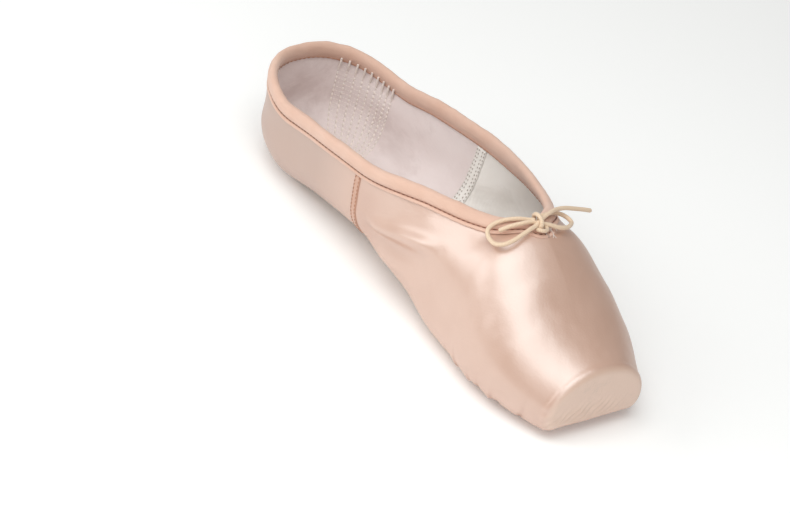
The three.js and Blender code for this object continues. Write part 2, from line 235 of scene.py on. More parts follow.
def open_columns(front, sides, heel):
    """Columns from the throat back along one side and round to the middle of the heel."""
    share = 1 - (np.arange(sides) / sides) ** 1.4
    x = np.concatenate([HEEL_CENTRE + (front - HEEL_CENTRE) * share, np.full(heel + 1, HEEL_CENTRE)])
    return x, np.concatenate([np.zeros(sides), np.linspace(0, 1, heel + 1)])


MIRROR = np.array([1, -1, 1])
collar_x, collar_turn = open_columns(THROAT, 60, 24)
edge_line = place(outlines(sections(collar_x, collar_turn)), collar_x, collar_turn)[:, -1]
collar_edge = np.concatenate([edge_line, (edge_line * MIRROR)[::-1]])
print("Collar edge:", round(float(np.linalg.norm(np.diff(collar_edge, axis=0), axis=1).sum())), "mm")

# %% [markdown]
# ## Distances and even steps
# A maker works with a tape measure: so far below the edge, so far from a fold, stitches so far apart.
# Two helpers do the same with polylines. One measures how far points lie from a line, and the other
# walks a line in even steps.

# %% Measuring along lines


def distance_to_path(points, path):
    """Distance of each point to a polyline."""
    best = np.full(len(points), np.inf)
    for a, b in zip(path[:-1], path[1:]):
        along = b - a
        t = np.clip((points - a) @ along / max(along @ along, 1e-12), 0, 1)
        best = np.minimum(best, ((points - a - t[:, None] * along) ** 2).sum(1))
    return np.sqrt(best)


def spread(points, count):
    """The same polyline as `count` points, evenly apart."""
    run = np.concatenate([[0], np.cumsum(np.linalg.norm(np.diff(points, axis=0), axis=1))])
    want = np.linspace(0, run[-1], count)
    return np.stack([np.interp(want, run, points[:, k]) for k in range(points.shape[1])], -1)


print("Width of the collar:", round(float(np.ptp(spread(collar_edge, 200)[:, 1])), 1), "mm")

# %% [markdown]
# ## Sheets of cloth on the last
# Satin, lining and seam tape are all thin sheets that lie on the last. A sheet is a grid: columns go
# along the shoe, and the points of a column go up its side. Where the sheet meets the collar it is cut
# at a set distance below the collar's edge. The other half is a mirror image, joined on the crown.

# %% Cutting a sheet


def rim_front(rim):
    """Where a sheet that is cut `rim` below the collar's edge closes on the vamp."""
    near, far = THROAT, THROAT + 2 * BINDING_WIDTH
    while far - near > 0.001:
        middle = (near + far) / 2
        crown = np.array([[middle, 0, section_curves[5](middle) + sole_line(middle)]])
        if distance_to_path(crown, collar_edge)[0] < rim:
            near = middle
        else:
            far = middle
    return far


def cut_columns(x, turn, inset, rim, count):
    """Each column of the last's outside, cut `rim` below the collar's edge, as `count` points."""
    full = outlines(sections(np.minimum(x, LENGTH - PLATFORM_EDGE), turn))
    middle = np.stack([np.zeros(len(x)), (full[:, 0, 1] + full[:, -1, 1]) / 2], -1)[:, None]
    size = np.stack([full[:, :, 0].max(1), (full[:, -1, 1] - full[:, 0, 1]) / 2], -1)[:, None]
    full = middle + (full - middle) * (1 - inset[:, None, None] / size)
    world = place(full, x, turn)
    rows = []
    for c in range(len(x)):
        points = full[c]
        if x[c] < THROAT + 2 * BINDING_WIDTH:
            clear = distance_to_path(world[c], collar_edge) - rim
            last = np.flatnonzero(clear >= 0)[-1]
            if last < len(points) - 1:
                t = clear[last] / (clear[last] - clear[last + 1])
                cut = points[last] + (points[last + 1] - points[last]) * t
                points = np.concatenate([points[: last + 1], [cut]])
        rows.append(spread(points, count))
    return np.array(rows)


def with_margin(rz, width, count):
    """Adds the part that is folded under the sole; `width` is how far it reaches in."""
    sole = rz[:, :1]
    inner = np.maximum(sole[..., 0] - width, 0)
    t = np.linspace(0, 1, count + 1)[None, :-1]
    r = inner + (sole[..., 0] - inner) * t
    return np.concatenate([np.stack([r, np.broadcast_to(sole[..., 1], r.shape)], -1), rz], 1)


def join_halves(half):
    """One side's grid of points and its mirror image, as one grid from toe to heel to toe."""
    return np.concatenate([half, (half[:-1] * MIRROR)[::-1]])


print("A sheet cut 4.5 mm below the edge closes at x =", round(rim_front(4.5), 1), "mm")

# %% [markdown]
# ## Grids as meshes
# The points of a grid become a mesh with a UV map in metres, along and up the cloth, so that a weave
# has its true size. Points that coincide, such as both sides' points on the crown, are merged.

# %% From a grid to a piece


def make_mesh(name, points, faces, uv=None):
    """A mesh object from shoe points in millimetres; uv is one pair for each point."""
    mesh = bpy.data.meshes.new(name)
    mesh.from_pydata(metres(points).tolist(), [], [list(map(int, f)) for f in faces])
    if uv is not None:
        layer = mesh.uv_layers.new(name="cloth")
        corner = np.zeros(len(mesh.loops), np.int32)
        mesh.loops.foreach_get("vertex_index", corner)
        layer.data.foreach_set("uv", np.asarray(uv, np.float32)[corner].ravel())
    obj = bpy.data.objects.new(name, mesh)
    bpy.context.scene.collection.objects.link(obj)
    return obj


def tidy_mesh(obj, recalculate=False):
    """Merges points that coincide, drops empty faces and shades the mesh smooth."""
    work = bmesh.new()
    work.from_mesh(obj.data)
    bmesh.ops.remove_doubles(work, verts=work.verts, dist=2e-6)
    bmesh.ops.dissolve_degenerate(work, edges=work.edges, dist=1e-7)
    if recalculate:
        bmesh.ops.recalc_face_normals(work, faces=work.faces)
    for face in work.faces:
        face.smooth = True
    work.to_mesh(obj.data)
    work.free()
    obj.data.update()
    return obj


def grid_faces(columns, rows, loop=False):
    """Faces of a grid whose point (c, r) is number c * rows + r."""
    c, r = np.meshgrid(np.arange(columns if loop else columns - 1), np.arange(rows - 1), indexing="ij")
    c, r = c.ravel(), r.ravel()
    d = (c + 1) % columns
    return np.stack([c * rows + r, c * rows + r + 1, d * rows + r + 1, d * rows + r], 1)


def grid_uv(grid):
    """Distances along and up a sheet, in metres, as the weave runs."""
    middle = grid[:, grid.shape[1] // 2]
    u = np.concatenate([[0], np.cumsum(np.linalg.norm(np.diff(middle, axis=0), axis=1))])
    steps = np.linalg.norm(np.diff(grid, axis=1), axis=2)
    v = np.concatenate([np.zeros((len(grid), 1)), np.cumsum(steps, 1)], 1)
    return np.stack([np.broadcast_to(u[:, None], v.shape), v], -1).reshape(-1, 2) / 1000


print("A grid of 4 by 3 points has", len(grid_faces(4, 3)), "faces")

# %% [markdown]
# ## Thickness
# Cloth has two sides. A Solidify modifier gives a sheet its thickness towards the inside of the shoe,
# so the outside stays where it was drawn. The modifier is applied at once, because a finished piece is
# a plain mesh.

# %% Thickness and finished meshes


def vertex_arrays(obj):
    """Shoe points and outward normals of a mesh."""
    count = len(obj.data.vertices)
    co, no = np.zeros(count * 3), np.zeros(count * 3)
    obj.data.vertices.foreach_get("co", co)
    obj.data.vertices.foreach_get("normal", no)
    return co.reshape(-1, 3) * 1000 - [SHIFT, 0, 0], no.reshape(-1, 3)


def baked(obj):
    """The object with its modifiers applied as a plain mesh."""
    depsgraph = bpy.context.evaluated_depsgraph_get()
    mesh = bpy.data.meshes.new_from_object(obj.evaluated_get(depsgraph))
    obj.modifiers.clear()
    obj.data = mesh
    mesh.name = obj.name
    return obj


def thicken(obj, thickness):
    """Gives a sheet its thickness, towards the inside of the shoe."""
    solid = obj.modifiers.new("thickness", "SOLIDIFY")
    solid.thickness = thickness / 1000
    solid.offset = -1
    solid.use_even_offset = False
    return baked(obj)


print("Meshes so far:", len(bpy.data.meshes))

# %% [markdown]
# ## Folds and creases
# Satin stretched over a last is never quite smooth. At the waist the slack makes long soft folds. Each
# main crease is given as a trough or a ridge with its own width and depth, in the shoe's sizes,
# so that it can be moved on its own. A low ripple, the sum of a few seeded waves, stops the rest from
# looking moulded.

# %% Creases placed one by one
# Each crease: height in mm (a trough is negative), half-width in mm, and its route on the near side.
NEAR_CREASES = [
    (2.8, 3.3, [(100, -34, 27), (110, -34, 30.2), (119, -34.4, 33), (128, -34, 36.5), (140, -33, 40.5),
                (152, -31, 44)]),
    (-0.9, 5.5, [(98, -34, 36), (113, -34, 39), (124, -33, 44), (140, -31, 50)]),
    (-1.8, 3.8, [(97, -33, 19), (107, -33.5, 24.4), (116, -34, 26.5), (130, -34, 30.5), (148, -35, 36)]),
    (1.2, 4.4, [(98, -31, 10), (112, -32, 16.5), (126, -33, 20.5), (148, -35, 26)]),
    (-0.7, 5.0, [(54, -33, 31), (74, -34, 27), (90, -33, 24)]),
]
# Painted shade and warm bounced light: along this route at the waist the satin's colour is made darker and
# more orange, by this much.
WAIST_SHADE = 0.4
WAIST_ROUTE = np.array([(102, -34, 38), (102, -33, 28), (103, -33, 20), (108, -32, 14)], float)
# Short nicks where a pleat ends on the visible edge of the toe: depth, half-width and route. Each is also
# painted dark, as shade in the nick.
NICKS = [
    (-1.3, 0.9, [(192.5, -30, 1.5), (194.6, -33, 4.4), (196.6, -35.5, 7.4)]),
    (-1.3, 0.9, [(204.5, -29, 2), (207, -32.5, 5), (209.4, -34, 8.2)]),
    (-1.1, 0.9, [(215.6, -27, 2.5), (218.4, -29.5, 5.6), (221, -30, 8.6)]),
]
FAR_CREASES = [
    (0.8, 4.6, [(102, 33, 25), (116, 33, 29), (130, 34, 34), (142, 32, 39)]),
    (-0.8, 4.6, [(98, 32, 34), (112, 33, 38), (126, 32, 43)]),
    (-0.6, 5.0, [(104, 31, 17), (120, 33, 21), (134, 35, 24)]),
    (0.5, 6.0, [(58, 33, 22), (72, 33, 27), (86, 33, 30)]),
]
HEEL_CREASES = [
    (-0.5, 3.2, [(4, -10, 14), (1, -3, 22), (0.5, 2, 32)]),
    (0.4, 4.0, [(6, 14, 12), (2, 8, 20), (1, 5, 30)]),
    (-0.4, 3.0, [(9, 19, 12), (4, 14, 22), (3, 12, 33)]),
]


def ease(x, low, high):
    """0 below low, 1 above high and a soft step between."""
    t = np.clip((x - low) / (high - low), 0, 1)
    return t * t * (3 - 2 * t)


def ripple(points, size, seed, waves=9):
    """A smooth random ripple between about -1 and 1, with hollows about `size` apart."""
    rng = np.random.default_rng(seed)
    total = np.zeros(len(points))
    for _ in range(waves):
        way = rng.normal(size=3)
        way *= 2 * math.pi / (size * rng.uniform(0.8, 1.6) * np.linalg.norm(way))
        total += np.sin(points @ way + rng.uniform(0, 2 * math.pi))
    return total / math.sqrt(waves)


CREASE_TAPER = 2.6  # a crease fades in over this many half-widths


def crease(points, route, width):
    """1 on a crease's route, fading out over its half-width and towards both of its ends."""
    height = np.exp(-((distance_to_path(points, spread(np.array(route, float), 16)) / width) ** 2))
    for end in (route[0], route[-1]):
        height *= 1 - np.exp(-((np.linalg.norm(points - end, axis=1) / (CREASE_TAPER * width)) ** 2))
    return height


print("Creases placed by hand:", len(NEAR_CREASES + FAR_CREASES + HEEL_CREASES + NICKS))

# %% [markdown]
# ## Pleats under the toe
# Below the toe the satin is gathered into pleats that fan out from the front of the sole. A pleat rises
# slowly across its width and drops steeply at its foot, where shade is painted as a dark line. The fan is
# counted by angle, and the count wanders a little, as hand work does.

# %% Pleats
PLEAT_CENTRE = 184.0
PLEAT_SPREAD = math.radians(112)
PLEATS = 15
PLEAT_TOP = 0.88  # the share of a pleat's width at which it is highest
# The dark line at a pleat's foot is painted shade in the fold.
PLEAT_SHADE_LINE = 0.055  # half-width of the dark line at its foot, as a share


def pleats(points):
    """Height of the pleats under the toe, and a mask of the shade painted along the foot of each."""
    x, y, z = points.T
    height = z - sole_line(x)
    angle = np.arctan2(y, x - PLEAT_CENTRE)
    radius = np.hypot(x - PLEAT_CENTRE, y)
    wander = 0.22 * np.sin(angle * 5.3 + 0.7) + 0.16 * np.sin(angle * 11.7 + 2.1) + 0.03 * radius / 10
    count = (angle / PLEAT_SPREAD + 1) / 2 * PLEATS + wander
    share = count - np.floor(count)
    fall = 1 - (share - PLEAT_TOP) / (1 - PLEAT_TOP)
    rise = np.where(share < PLEAT_TOP, (share / PLEAT_TOP) ** 1.6, fall)
    strength = 0.75 + 0.35 * np.sin(np.floor(count) * 2.4 + 0.5)
    reach = 4.5 + 3.5 * np.abs(np.sin(np.floor(count) * 1.9 + 1.0))
    under = np.exp(-((np.maximum(height - 2.9, 0) / reach) ** 2))
    fan = 1 - ease(np.abs(angle), PLEAT_SPREAD * 0.92, PLEAT_SPREAD)
    mask = strength * under * fan * ease(radius, 12, 20) * (1 - ease(x, 224, 230) * 0.9)
    # Painted shade: dark along each pleat's foot and over its steep side.
    line = np.exp(-((np.minimum(share, 1 - share) / PLEAT_SHADE_LINE) ** 2)) + 0.6 * (share > PLEAT_TOP)
    return rise * mask, np.clip(line, 0, 1) * mask


print("Pleats under the toe:", PLEATS)

# %% [markdown]
# ## The whole relief
# All folds add up to one height above the last and one mask of shade painted into the creases. Every sheet
# that lies on the last reads the same relief, so no cloth pokes through another. The relief fades out under
# the binding and dips along the side seams, where stitches pull the satin in.

# %% Relief of the satin
PLEAT_HEIGHT = 0.95
PLATFORM_FOLDS = 0.34
RIPPLES = [(0.16, 34, 1), (0.07, 15, 2), (0.02, 6, 3)]  # height, distance between hollows, seed
SEAM_DIP, SEAM_DIP_WIDTH = 0.25, 2.6


def platform_folds(points):
    """Fine slanting wrinkles where the satin turns under the toe's flat end."""
    x, y, z = points.T
    height = z - sole_line(x)
    slant = y * 0.72 - height * 0.69
    waves = np.sin(2 * math.pi * slant / 3.0 + 1.2 * ripple(points, 9, 5))
    low = np.exp(-((np.maximum(height - 9.0, 0) / 5.0) ** 2)) * (1 - ease(y, 6, 20)) * ease(x, 226, 230)
    return waves * low * (0.65 + 0.35 * ripple(points, 12, 8))


def relief(points):
    """Height of the satin above the last, and a mask of painted shade for its creases."""
    fold, dark = pleats(points)
    wrinkles = platform_folds(points)
    height = PLEAT_HEIGHT * fold + PLATFORM_FOLDS * wrinkles
    height += sum(size * ripple(points, apart, seed) for size, apart, seed in RIPPLES)
    for size, width, route in NEAR_CREASES + FAR_CREASES + HEEL_CREASES + NICKS:
        height += size * crease(points, route, width)
    # Painted shade: the nicks are darkened in the crease mask.
    for _, width, route in NICKS:
        dark = dark + crease(points, route, width)
    # Painted shade and warm bounced light along the waist's route.
    dark = dark + WAIST_SHADE * np.exp(-((distance_to_path(points, WAIST_ROUTE) / 8) ** 2))
    height *= ease(distance_to_path(points, collar_edge), 8.5, 14)
    height -= SEAM_DIP * np.exp(-(((points[:, 0] - SEAM_X) / SEAM_DIP_WIDTH) ** 2))
    # Painted shade in the troughs of the platform's wrinkles.
    return height, np.clip(dark - 0.3 * np.clip(wrinkles, -1, 0), 0, 1)


def lay_on(obj, lift=0.0):
    """Moves a sheet's points to the satin's relief, `lift` above it, and keeps the mask of painted crease
    shade.
    """
    points, normals = vertex_arrays(obj)
    height, dark = relief(points)
    moved = metres(points + normals * (height + lift)[:, None])
    obj.data.vertices.foreach_set("co", moved.astype(np.float32).ravel())
    # The painted shade of creases, pleats and nicks is kept as the 'crease' attribute.
    mask = obj.data.attributes.new("crease", "FLOAT", "POINT")
    mask.data.foreach_set("value", dark.astype(np.float32))
    obj.data.update()
    return obj


# The value printed here is the painted warm shade at the waist, not a crease of the cloth.
print("Darkest crease at the waist:", round(float(relief(WAIST_ROUTE)[1].max()), 2))

# %% [markdown]
# ## The satin upper
# The satin is one sheet pulled over the last: it covers the flat platform, the box and the vamp, runs
# back along both quarters, and is folded under the sole by a narrow margin. The grid is fine at the toe,
# where the pleats are. The platform is closed with rings that shrink to its middle, and a solidify
# modifier gives the cloth its thickness, so that the shell has an inside too.

# %% Satin upper
SATIN_RIM = 4.5
SATIN_THICK = 0.75
SATIN_ROWS = 74
MARGIN_ROWS = 12
MARGIN, TOE_MARGIN = 7.0, 40.0  # folded under the sole, and how much more under the toe
CAP_RINGS = 40
DOME = 0.35  # how far the flat end swells in its middle


def outer_half(rim, rows):
    """The near half of a sheet that covers the whole last outside."""
    front = rim_front(rim)
    corner = np.radians(np.linspace(90, 0, 8))
    toe_x = LENGTH - PLATFORM_EDGE * (1 - np.sin(corner))
    toe_inset = PLATFORM_EDGE * (1 - np.cos(corner))
    plain = np.linspace(LENGTH - PLATFORM_EDGE, front, 62)[1:-1]
    side_x, side_turn = open_columns(front, 104, 36)
    x = np.concatenate([toe_x, plain, side_x])
    turns = np.concatenate([np.zeros(len(toe_x) + len(plain)), side_turn])
    inset = np.concatenate([toe_inset, np.zeros(len(x) - len(toe_inset))])
    rz = cut_columns(x, turns, inset, rim, rows)
    closed = len(toe_x) + len(plain) + 1
    rz[:closed, -1, 0] = 0
    margin = MARGIN + TOE_MARGIN * ease(x, 178, 198)
    rz = with_margin(rz, margin[:, None], MARGIN_ROWS)
    end = rz[0]
    middle = np.array([0, (end[0, 1] + end[-1, 1]) / 2])
    shrink = np.linspace(0, 1, CAP_RINGS + 1)[:-1] ** 0.9
    caps = middle + (end - middle) * shrink[:, None, None]
    cap_points = [place(cap[None], np.array([LENGTH]), np.zeros(1))[0] for cap in caps]
    dome = DOME * (1 - shrink**2)
    cap_points = [p + [d, 0, 0] for p, d in zip(cap_points, dome)]
    return np.concatenate([np.array(cap_points), place(rz, x, turns)])


outer = join_halves(outer_half(SATIN_RIM, SATIN_ROWS))
satin_upper = make_mesh("satin_upper", outer.reshape(-1, 3), grid_faces(*outer.shape[:2]), grid_uv(outer))
lay_on(tidy_mesh(satin_upper))
thicken(satin_upper, SATIN_THICK)
print("Satin upper:", len(satin_upper.data.polygons), "faces")

# %% [markdown]
# ## Linings
# Inside, the shoe is lined with cotton: one cloth round the heel and quarters, another under the vamp.
# They meet under the outer side seam. Each is a sheet like the satin, laid a little inside it with the
# same relief, so that cloth never pokes through cloth.

# %% Linings
LINING_RIM = 5.0
LINING_LIFT = -1.15
LINING_THICK = 0.5
LINING_MARGIN = 6.0
TOE_OPEN = 212  # the vamp lining stops here, inside the box
QUARTER_STEPS, HEEL_STEPS = 33, 30


def lining_half(x, turns, closed, rows=44):
    """The near half of a lining; the first `closed` columns run over the crown."""
    rz = cut_columns(x, turns, np.zeros(len(x)), LINING_RIM, rows)
    rz[:closed, -1, 0] = 0
    return place(with_margin(rz, np.full((len(x), 1), LINING_MARGIN), 4), x, turns)


def finish_sheet(name, grids, lift, thickness):
    """Joins grids into one sheet, lays it on the relief and thickens it."""
    points = np.concatenate([grid.reshape(-1, 3) for grid in grids])
    uv = np.concatenate([grid_uv(grid) for grid in grids])
    starts = np.cumsum([0] + [grid.shape[0] * grid.shape[1] for grid in grids])
    faces = np.concatenate([grid_faces(*g.shape[:2]) + start for g, start in zip(grids, starts)])
    obj = make_mesh(name, points, faces, uv)
    lay_on(tidy_mesh(obj), lift)
    return thicken(obj, thickness)


quarter_run = np.linspace(SEAM_X + 1.5, HEEL_CENTRE, QUARTER_STEPS + 1)[:-1]
quarter_x = np.concatenate([quarter_run, np.full(HEEL_STEPS + 1, HEEL_CENTRE)])
quarter_turns = np.concatenate([np.zeros(QUARTER_STEPS), np.linspace(0, 1, HEEL_STEPS + 1)])
quarter = join_halves(lining_half(quarter_x, quarter_turns, 0))
quarter_lining = finish_sheet("quarter_lining", [quarter], LINING_LIFT - 0.12, LINING_THICK)

vamp_front = rim_front(LINING_RIM)
vamp_crown = np.linspace(TOE_OPEN, vamp_front, 22)
vamp_x = np.concatenate([vamp_crown[:-1], np.linspace(vamp_front, SEAM_X - 1.5, 60)])
vamp = lining_half(vamp_x, np.zeros(len(vamp_x)), len(vamp_crown))
vamp_lining = finish_sheet("vamp_lining", [vamp, (vamp * MIRROR)[::-1]], LINING_LIFT, LINING_THICK)
print("Linings:", len(quarter_lining.data.polygons) + len(vamp_lining.data.polygons), "faces")

# %% [markdown]
# ## Side seams
# The vamp and the quarters are sewn together at the waist. A narrow satin strip covers each seam
# outside and is held by a row of stitches along either edge. Inside, a wider band of lining cotton
# covers the same seam. Both are short sheets on the same last, one lifted out and the other sunk in.

# %% Side seam strips
STRIP_WIDTH, STRIP_LIFT, STRIP_THICK = 3.4, 0.42, 0.5
BAND_WIDTH, BAND_LIFT, BAND_THICK = 6.4, LINING_LIFT - LINING_THICK - 0.1, 0.3
SEAM_COLUMNS, SEAM_ROWS = 7, 46


def seam_strip(name, side, width, lift, thickness):
    """A strip along one side seam; side is 1 for the near side and -1 for the far one."""
    x = np.linspace(SEAM_X + width / 2, SEAM_X - width / 2, SEAM_COLUMNS)
    flat = np.zeros(SEAM_COLUMNS)
    rz = cut_columns(x, flat, flat, BINDING_WIDTH - 0.6, SEAM_ROWS)
    grid = place(rz, x, flat) * [1, side, 1]
    return finish_sheet(name, [grid[::side]], lift, thickness)


sides = {"near": 1, "far": -1}
seam_strips = [seam_strip("side_seam_" + which, side, STRIP_WIDTH, STRIP_LIFT, STRIP_THICK)
               for which, side in sides.items()]
seam_bands = [seam_strip("lining_band_" + which, side, BAND_WIDTH, BAND_LIFT, BAND_THICK)
              for which, side in sides.items()]
print("Seam strips and bands:", [len(piece.data.polygons) for piece in seam_strips + seam_bands], "faces")

# %% [markdown]
# ## Collar binding
# The binding is one cotton tape, folded over the raw edge of satin and lining. The drawstring runs in
# the fold, which makes it puffy; below it a row of stitches pulls the tape in, and a thin free edge
# shows outside. Its section is drawn once, as distances down from the edge and out from the satin, and
# swept round the collar with the same frames as the CAD ring, so it can't drift off the last.

# %% Collar binding
# distance down, distance out, and how far the point lies in a shadowed stitch line
BINDING_SECTION = [
    (8.55, 0.12, 0), (8.60, 0.45, 0), (8.45, 0.72, 0), (7.90, 0.80, 0), (7.30, 0.70, 0), (6.95, 0.42, 0.6),
    (6.75, 0.26, 1), (6.50, 0.34, 0.9), (6.20, 0.72, 0.25), (5.60, 1.14, 0), (4.70, 1.42, 0),
    (3.60, 1.50, 0), (2.50, 1.40, 0), (1.50, 1.10, 0), (0.70, 0.60, 0), (0.15, -0.05, 0), (0.0, -0.8, 0),
    (0.15, -1.55, 0), (0.70, -2.20, 0), (1.50, -2.70, 0), (2.50, -2.96, 0), (3.60, -3.02, 0),
    (4.70, -2.92, 0), (5.60, -2.66, 0), (6.30, -2.36, 0.15), (7.00, -2.22, 0.3), (7.60, -2.24, 0.5),
    (8.10, -2.22, 0.9), (8.30, -2.05, 1), (8.25, -1.85, 1), (7.00, -1.80, 0), (5.20, -1.76, 0),
    (4.55, -1.50, 0), (4.20, -0.80, 0), (4.55, -0.10, 0), (5.20, 0.06, 0), (7.00, 0.10, 0),
]
BINDING_COLUMNS = (150, 52)  # along each side, and round the heel's quarter
INSIDE_POINT = 16  # the point of the section at the collar's very edge
# Gathers along the binding: height as a share of the section, distance apart, seed.
GATHERS = [(0.016, 22, 22), (0.012, 3.2, 23)]
binding_x, binding_turns = open_columns(THROAT, *BINDING_COLUMNS)
rim_x, _ = open_columns(rim_front(BINDING_WIDTH), *BINDING_COLUMNS)
tip_rz = outlines(sections(binding_x, binding_turns))
foot_rz = cut_columns(rim_x, binding_turns, np.zeros(len(rim_x)), BINDING_WIDTH, 12)


def last_point(rz, x, turns):
    """Top point of each column and the outward direction there."""
    tip = place(rz[:, -1:], x, turns)[:, 0]
    inside = place(rz[:, -1:] - outward(rz)[:, -1:], x, turns)[:, 0]
    out = tip - inside
    return tip, out / np.linalg.norm(out, axis=1)[:, None]


tip, tip_out = last_point(tip_rz, binding_x, binding_turns)
foot, foot_out = last_point(foot_rz, rim_x, binding_turns)


def on_binding(down, out):
    """Points at a distance down from the collar's edge and out from the wall, for each column."""
    reach = 1 - GAP / np.linalg.norm(foot - tip, axis=1)[:, None]
    t = down / BINDING_WIDTH * reach
    normal = tip_out * (1 - t) + foot_out * t
    normal /= np.linalg.norm(normal, axis=1)[:, None]
    return tip * (1 - t) + foot * t + normal * out


def whole_ring(near):
    """A line along the near side, carried on round the far side, as one closed ring."""
    return np.concatenate([near, (near[1:-1] * MIRROR)[::-1]])


near_rings = np.stack([on_binding(down, out) for down, out, _ in BINDING_SECTION], 1)
near_rings[[0, -1], :, 1] = 0
rings = whole_ring(near_rings)
puff = np.array([1.0 if down < 6.3 else 0.25 for down, _, _ in BINDING_SECTION])
middle_line = rings.mean(1, keepdims=True)
surface = rings.reshape(-1, 3)
wave = ripple(surface, 7, 21).reshape(rings.shape[:2]) * (0.020 + 0.022 * ease(rings[:, :1, 0], 140, 168))
for size, apart, seed in GATHERS:
    wave += size * ripple(surface, apart, seed).reshape(rings.shape[:2])
rings = middle_line + (rings - middle_line) * (1 + wave * puff)[:, :, None]
closed = np.concatenate([rings, rings[:, :1]], 1)
length = np.concatenate([[0], np.cumsum(np.linalg.norm(np.diff(rings[:, INSIDE_POINT], axis=0), axis=1))])
around = np.concatenate([[0], np.cumsum(np.linalg.norm(np.diff(closed[0], axis=0), axis=1))])
uv = np.stack(np.broadcast_arrays(length[:, None], around[None, :]), -1).reshape(-1, 2) / 1000
collar_binding = make_mesh(
    "collar_binding_tape", closed.reshape(-1, 3), grid_faces(*closed.shape[:2], loop=True), uv)
# Painted shadow: the valley of the stitch line is made darker through the 'crease' attribute.
shadow = np.tile([s for _, _, s in BINDING_SECTION] + [BINDING_SECTION[0][2]], len(closed))
mask = collar_binding.data.attributes.new("crease", "FLOAT", "POINT")
mask.data.foreach_set("value", shadow.astype(np.float32))
tidy_mesh(collar_binding)
print("Binding:", round(length[-1]), "mm round and", round(around[-1]), "mm round its section")

# %% [markdown]
# ## Outsole
# The sole is a small piece of split leather, rough side out, sewn through a channel near its edge. It
# is swept along the ground line from one outline, with its rim, channel and middle in the section. The
# heel and the ball stay flat on the floor, and the arch and the tip rise from it. The insole board that
# lies inside on the folded satin is drawn by the same function.

# %% Outsole and insole board
# Outlines: stations along the shoe, and the half-width at each.
OUTSOLE_ROWS = (
    [16.5, 18, 22, 28, 38, 52, 70, 88, 106, 122, 138, 154, 168, 180, 190, 198, 203, 205.5, 206.2],
    [6.5, 10.5, 14.5, 17, 18, 17.2, 15.8, 15.6, 17, 19.4, 22.4, 25, 26.6, 27, 26.2, 23.8, 19.8, 14.5, 8.5])
INSOLE_ROWS = (
    [17, 19, 24, 34, 52, 74, 94, 114, 132, 150, 168, 180, 188, 193, 195],
    [5, 9, 13, 15.5, 14.8, 13.9, 13.9, 15.4, 17.5, 21, 23.6, 23.6, 21, 16.5, 10])
# Sections at the edge: how far in, and the height there.
SOLE_UNDERSIDE = [(0, 0.75), (0.15, 0.35), (0.5, 0.08), (1.0, 0.0), (1.7, 0.02), (2.0, 0.22), (2.4, 0.34),
                  (4.0, 0.36), (5.4, 0.34), (5.8, 0.2), (6.4, 0.12)]
SOLE_TOP = [(0, SOLE_THICK - 0.25), (0.3, SOLE_THICK - 0.05), (1.2, SOLE_THICK)]
INSOLE_UNDERSIDE = [(0, 0.4), (0.3, 0.05), (1, 0)]
INSOLE_TOP = [(0, 1.0), (0.25, 1.3), (0.9, 1.45), (2.5, 1.5)]
INSOLE_LOW = SOLE_THICK + 2 * GAP + 1.6
STATION_STEP = 1.6
FULL_HALF_WIDTH = 16  # where the board is narrower, its edge profile shrinks with it


def board(name, rows, under, top, low):
    """A thin board along the ground line, with the given section at either edge."""
    half_width = through_table(*rows)
    spans = zip(rows[0][:-1], rows[0][1:])
    stations = [np.linspace(a, b, max(int((b - a) / STATION_STEP), 2))[:-1] for a, b in spans]
    x = np.concatenate(stations + [[rows[0][-1]]])
    half = half_width(x)[:, None]
    size = np.minimum(half / FULL_HALF_WIDTH, 1)

    def across(edge, side):
        inset = np.array([d for d, _ in edge]) * size
        r = np.concatenate([half - inset, half * 0.55, half * 0.25], 1)
        z = np.concatenate([[h for _, h in edge], [edge[-1][1]] * 2])
        return np.stack([r * side, np.broadcast_to(z, r.shape)], -1)

    middle = [np.stack([half * 0, half * 0 + edge[-1][1]], -1) for edge in (under, top)]
    ring = np.concatenate([
        across(under, -1), middle[0], across(under, 1)[:, ::-1],
        across(top, 1), middle[1], across(top, -1)[:, ::-1],
    ], 1)
    station = np.broadcast_to(x[:, None], ring.shape[:2])
    points = np.stack([station, ring[..., 0], ring[..., 1] + sole_line(station) + low], -1)
    count = points.shape[1]
    closed = np.concatenate([points, points[:, :1]], 1)
    faces = grid_faces(*closed.shape[:2])[:, ::-1].tolist()
    last = (len(x) - 1) * (count + 1)
    faces += [list(range(count))[::-1], [last + k for k in range(count)]]
    uv = np.stack([closed[..., 0], closed[..., 1]], -1).reshape(-1, 2) / 1000
    obj = make_mesh(name, closed.reshape(-1, 3), faces, uv)
    return tidy_mesh(obj, recalculate=True)


outsole = board("leather_outsole", OUTSOLE_ROWS, SOLE_UNDERSIDE, SOLE_TOP, 0)
insole = board("insole_board", INSOLE_ROWS, INSOLE_UNDERSIDE, INSOLE_TOP, INSOLE_LOW)
print("Outsole faces:", len(outsole.data.polygons), "insole faces:", len(insole.data.polygons))

# %% [markdown]
# ## Drawstring
# The cord leaves the casing at the throat and is tied in a small bow. Each half of the bow is one
# length: it goes out as a loop, back through the knot and on to a free end at the other side. The routes
# are the CAD's own points, and a smooth curve runs through them.

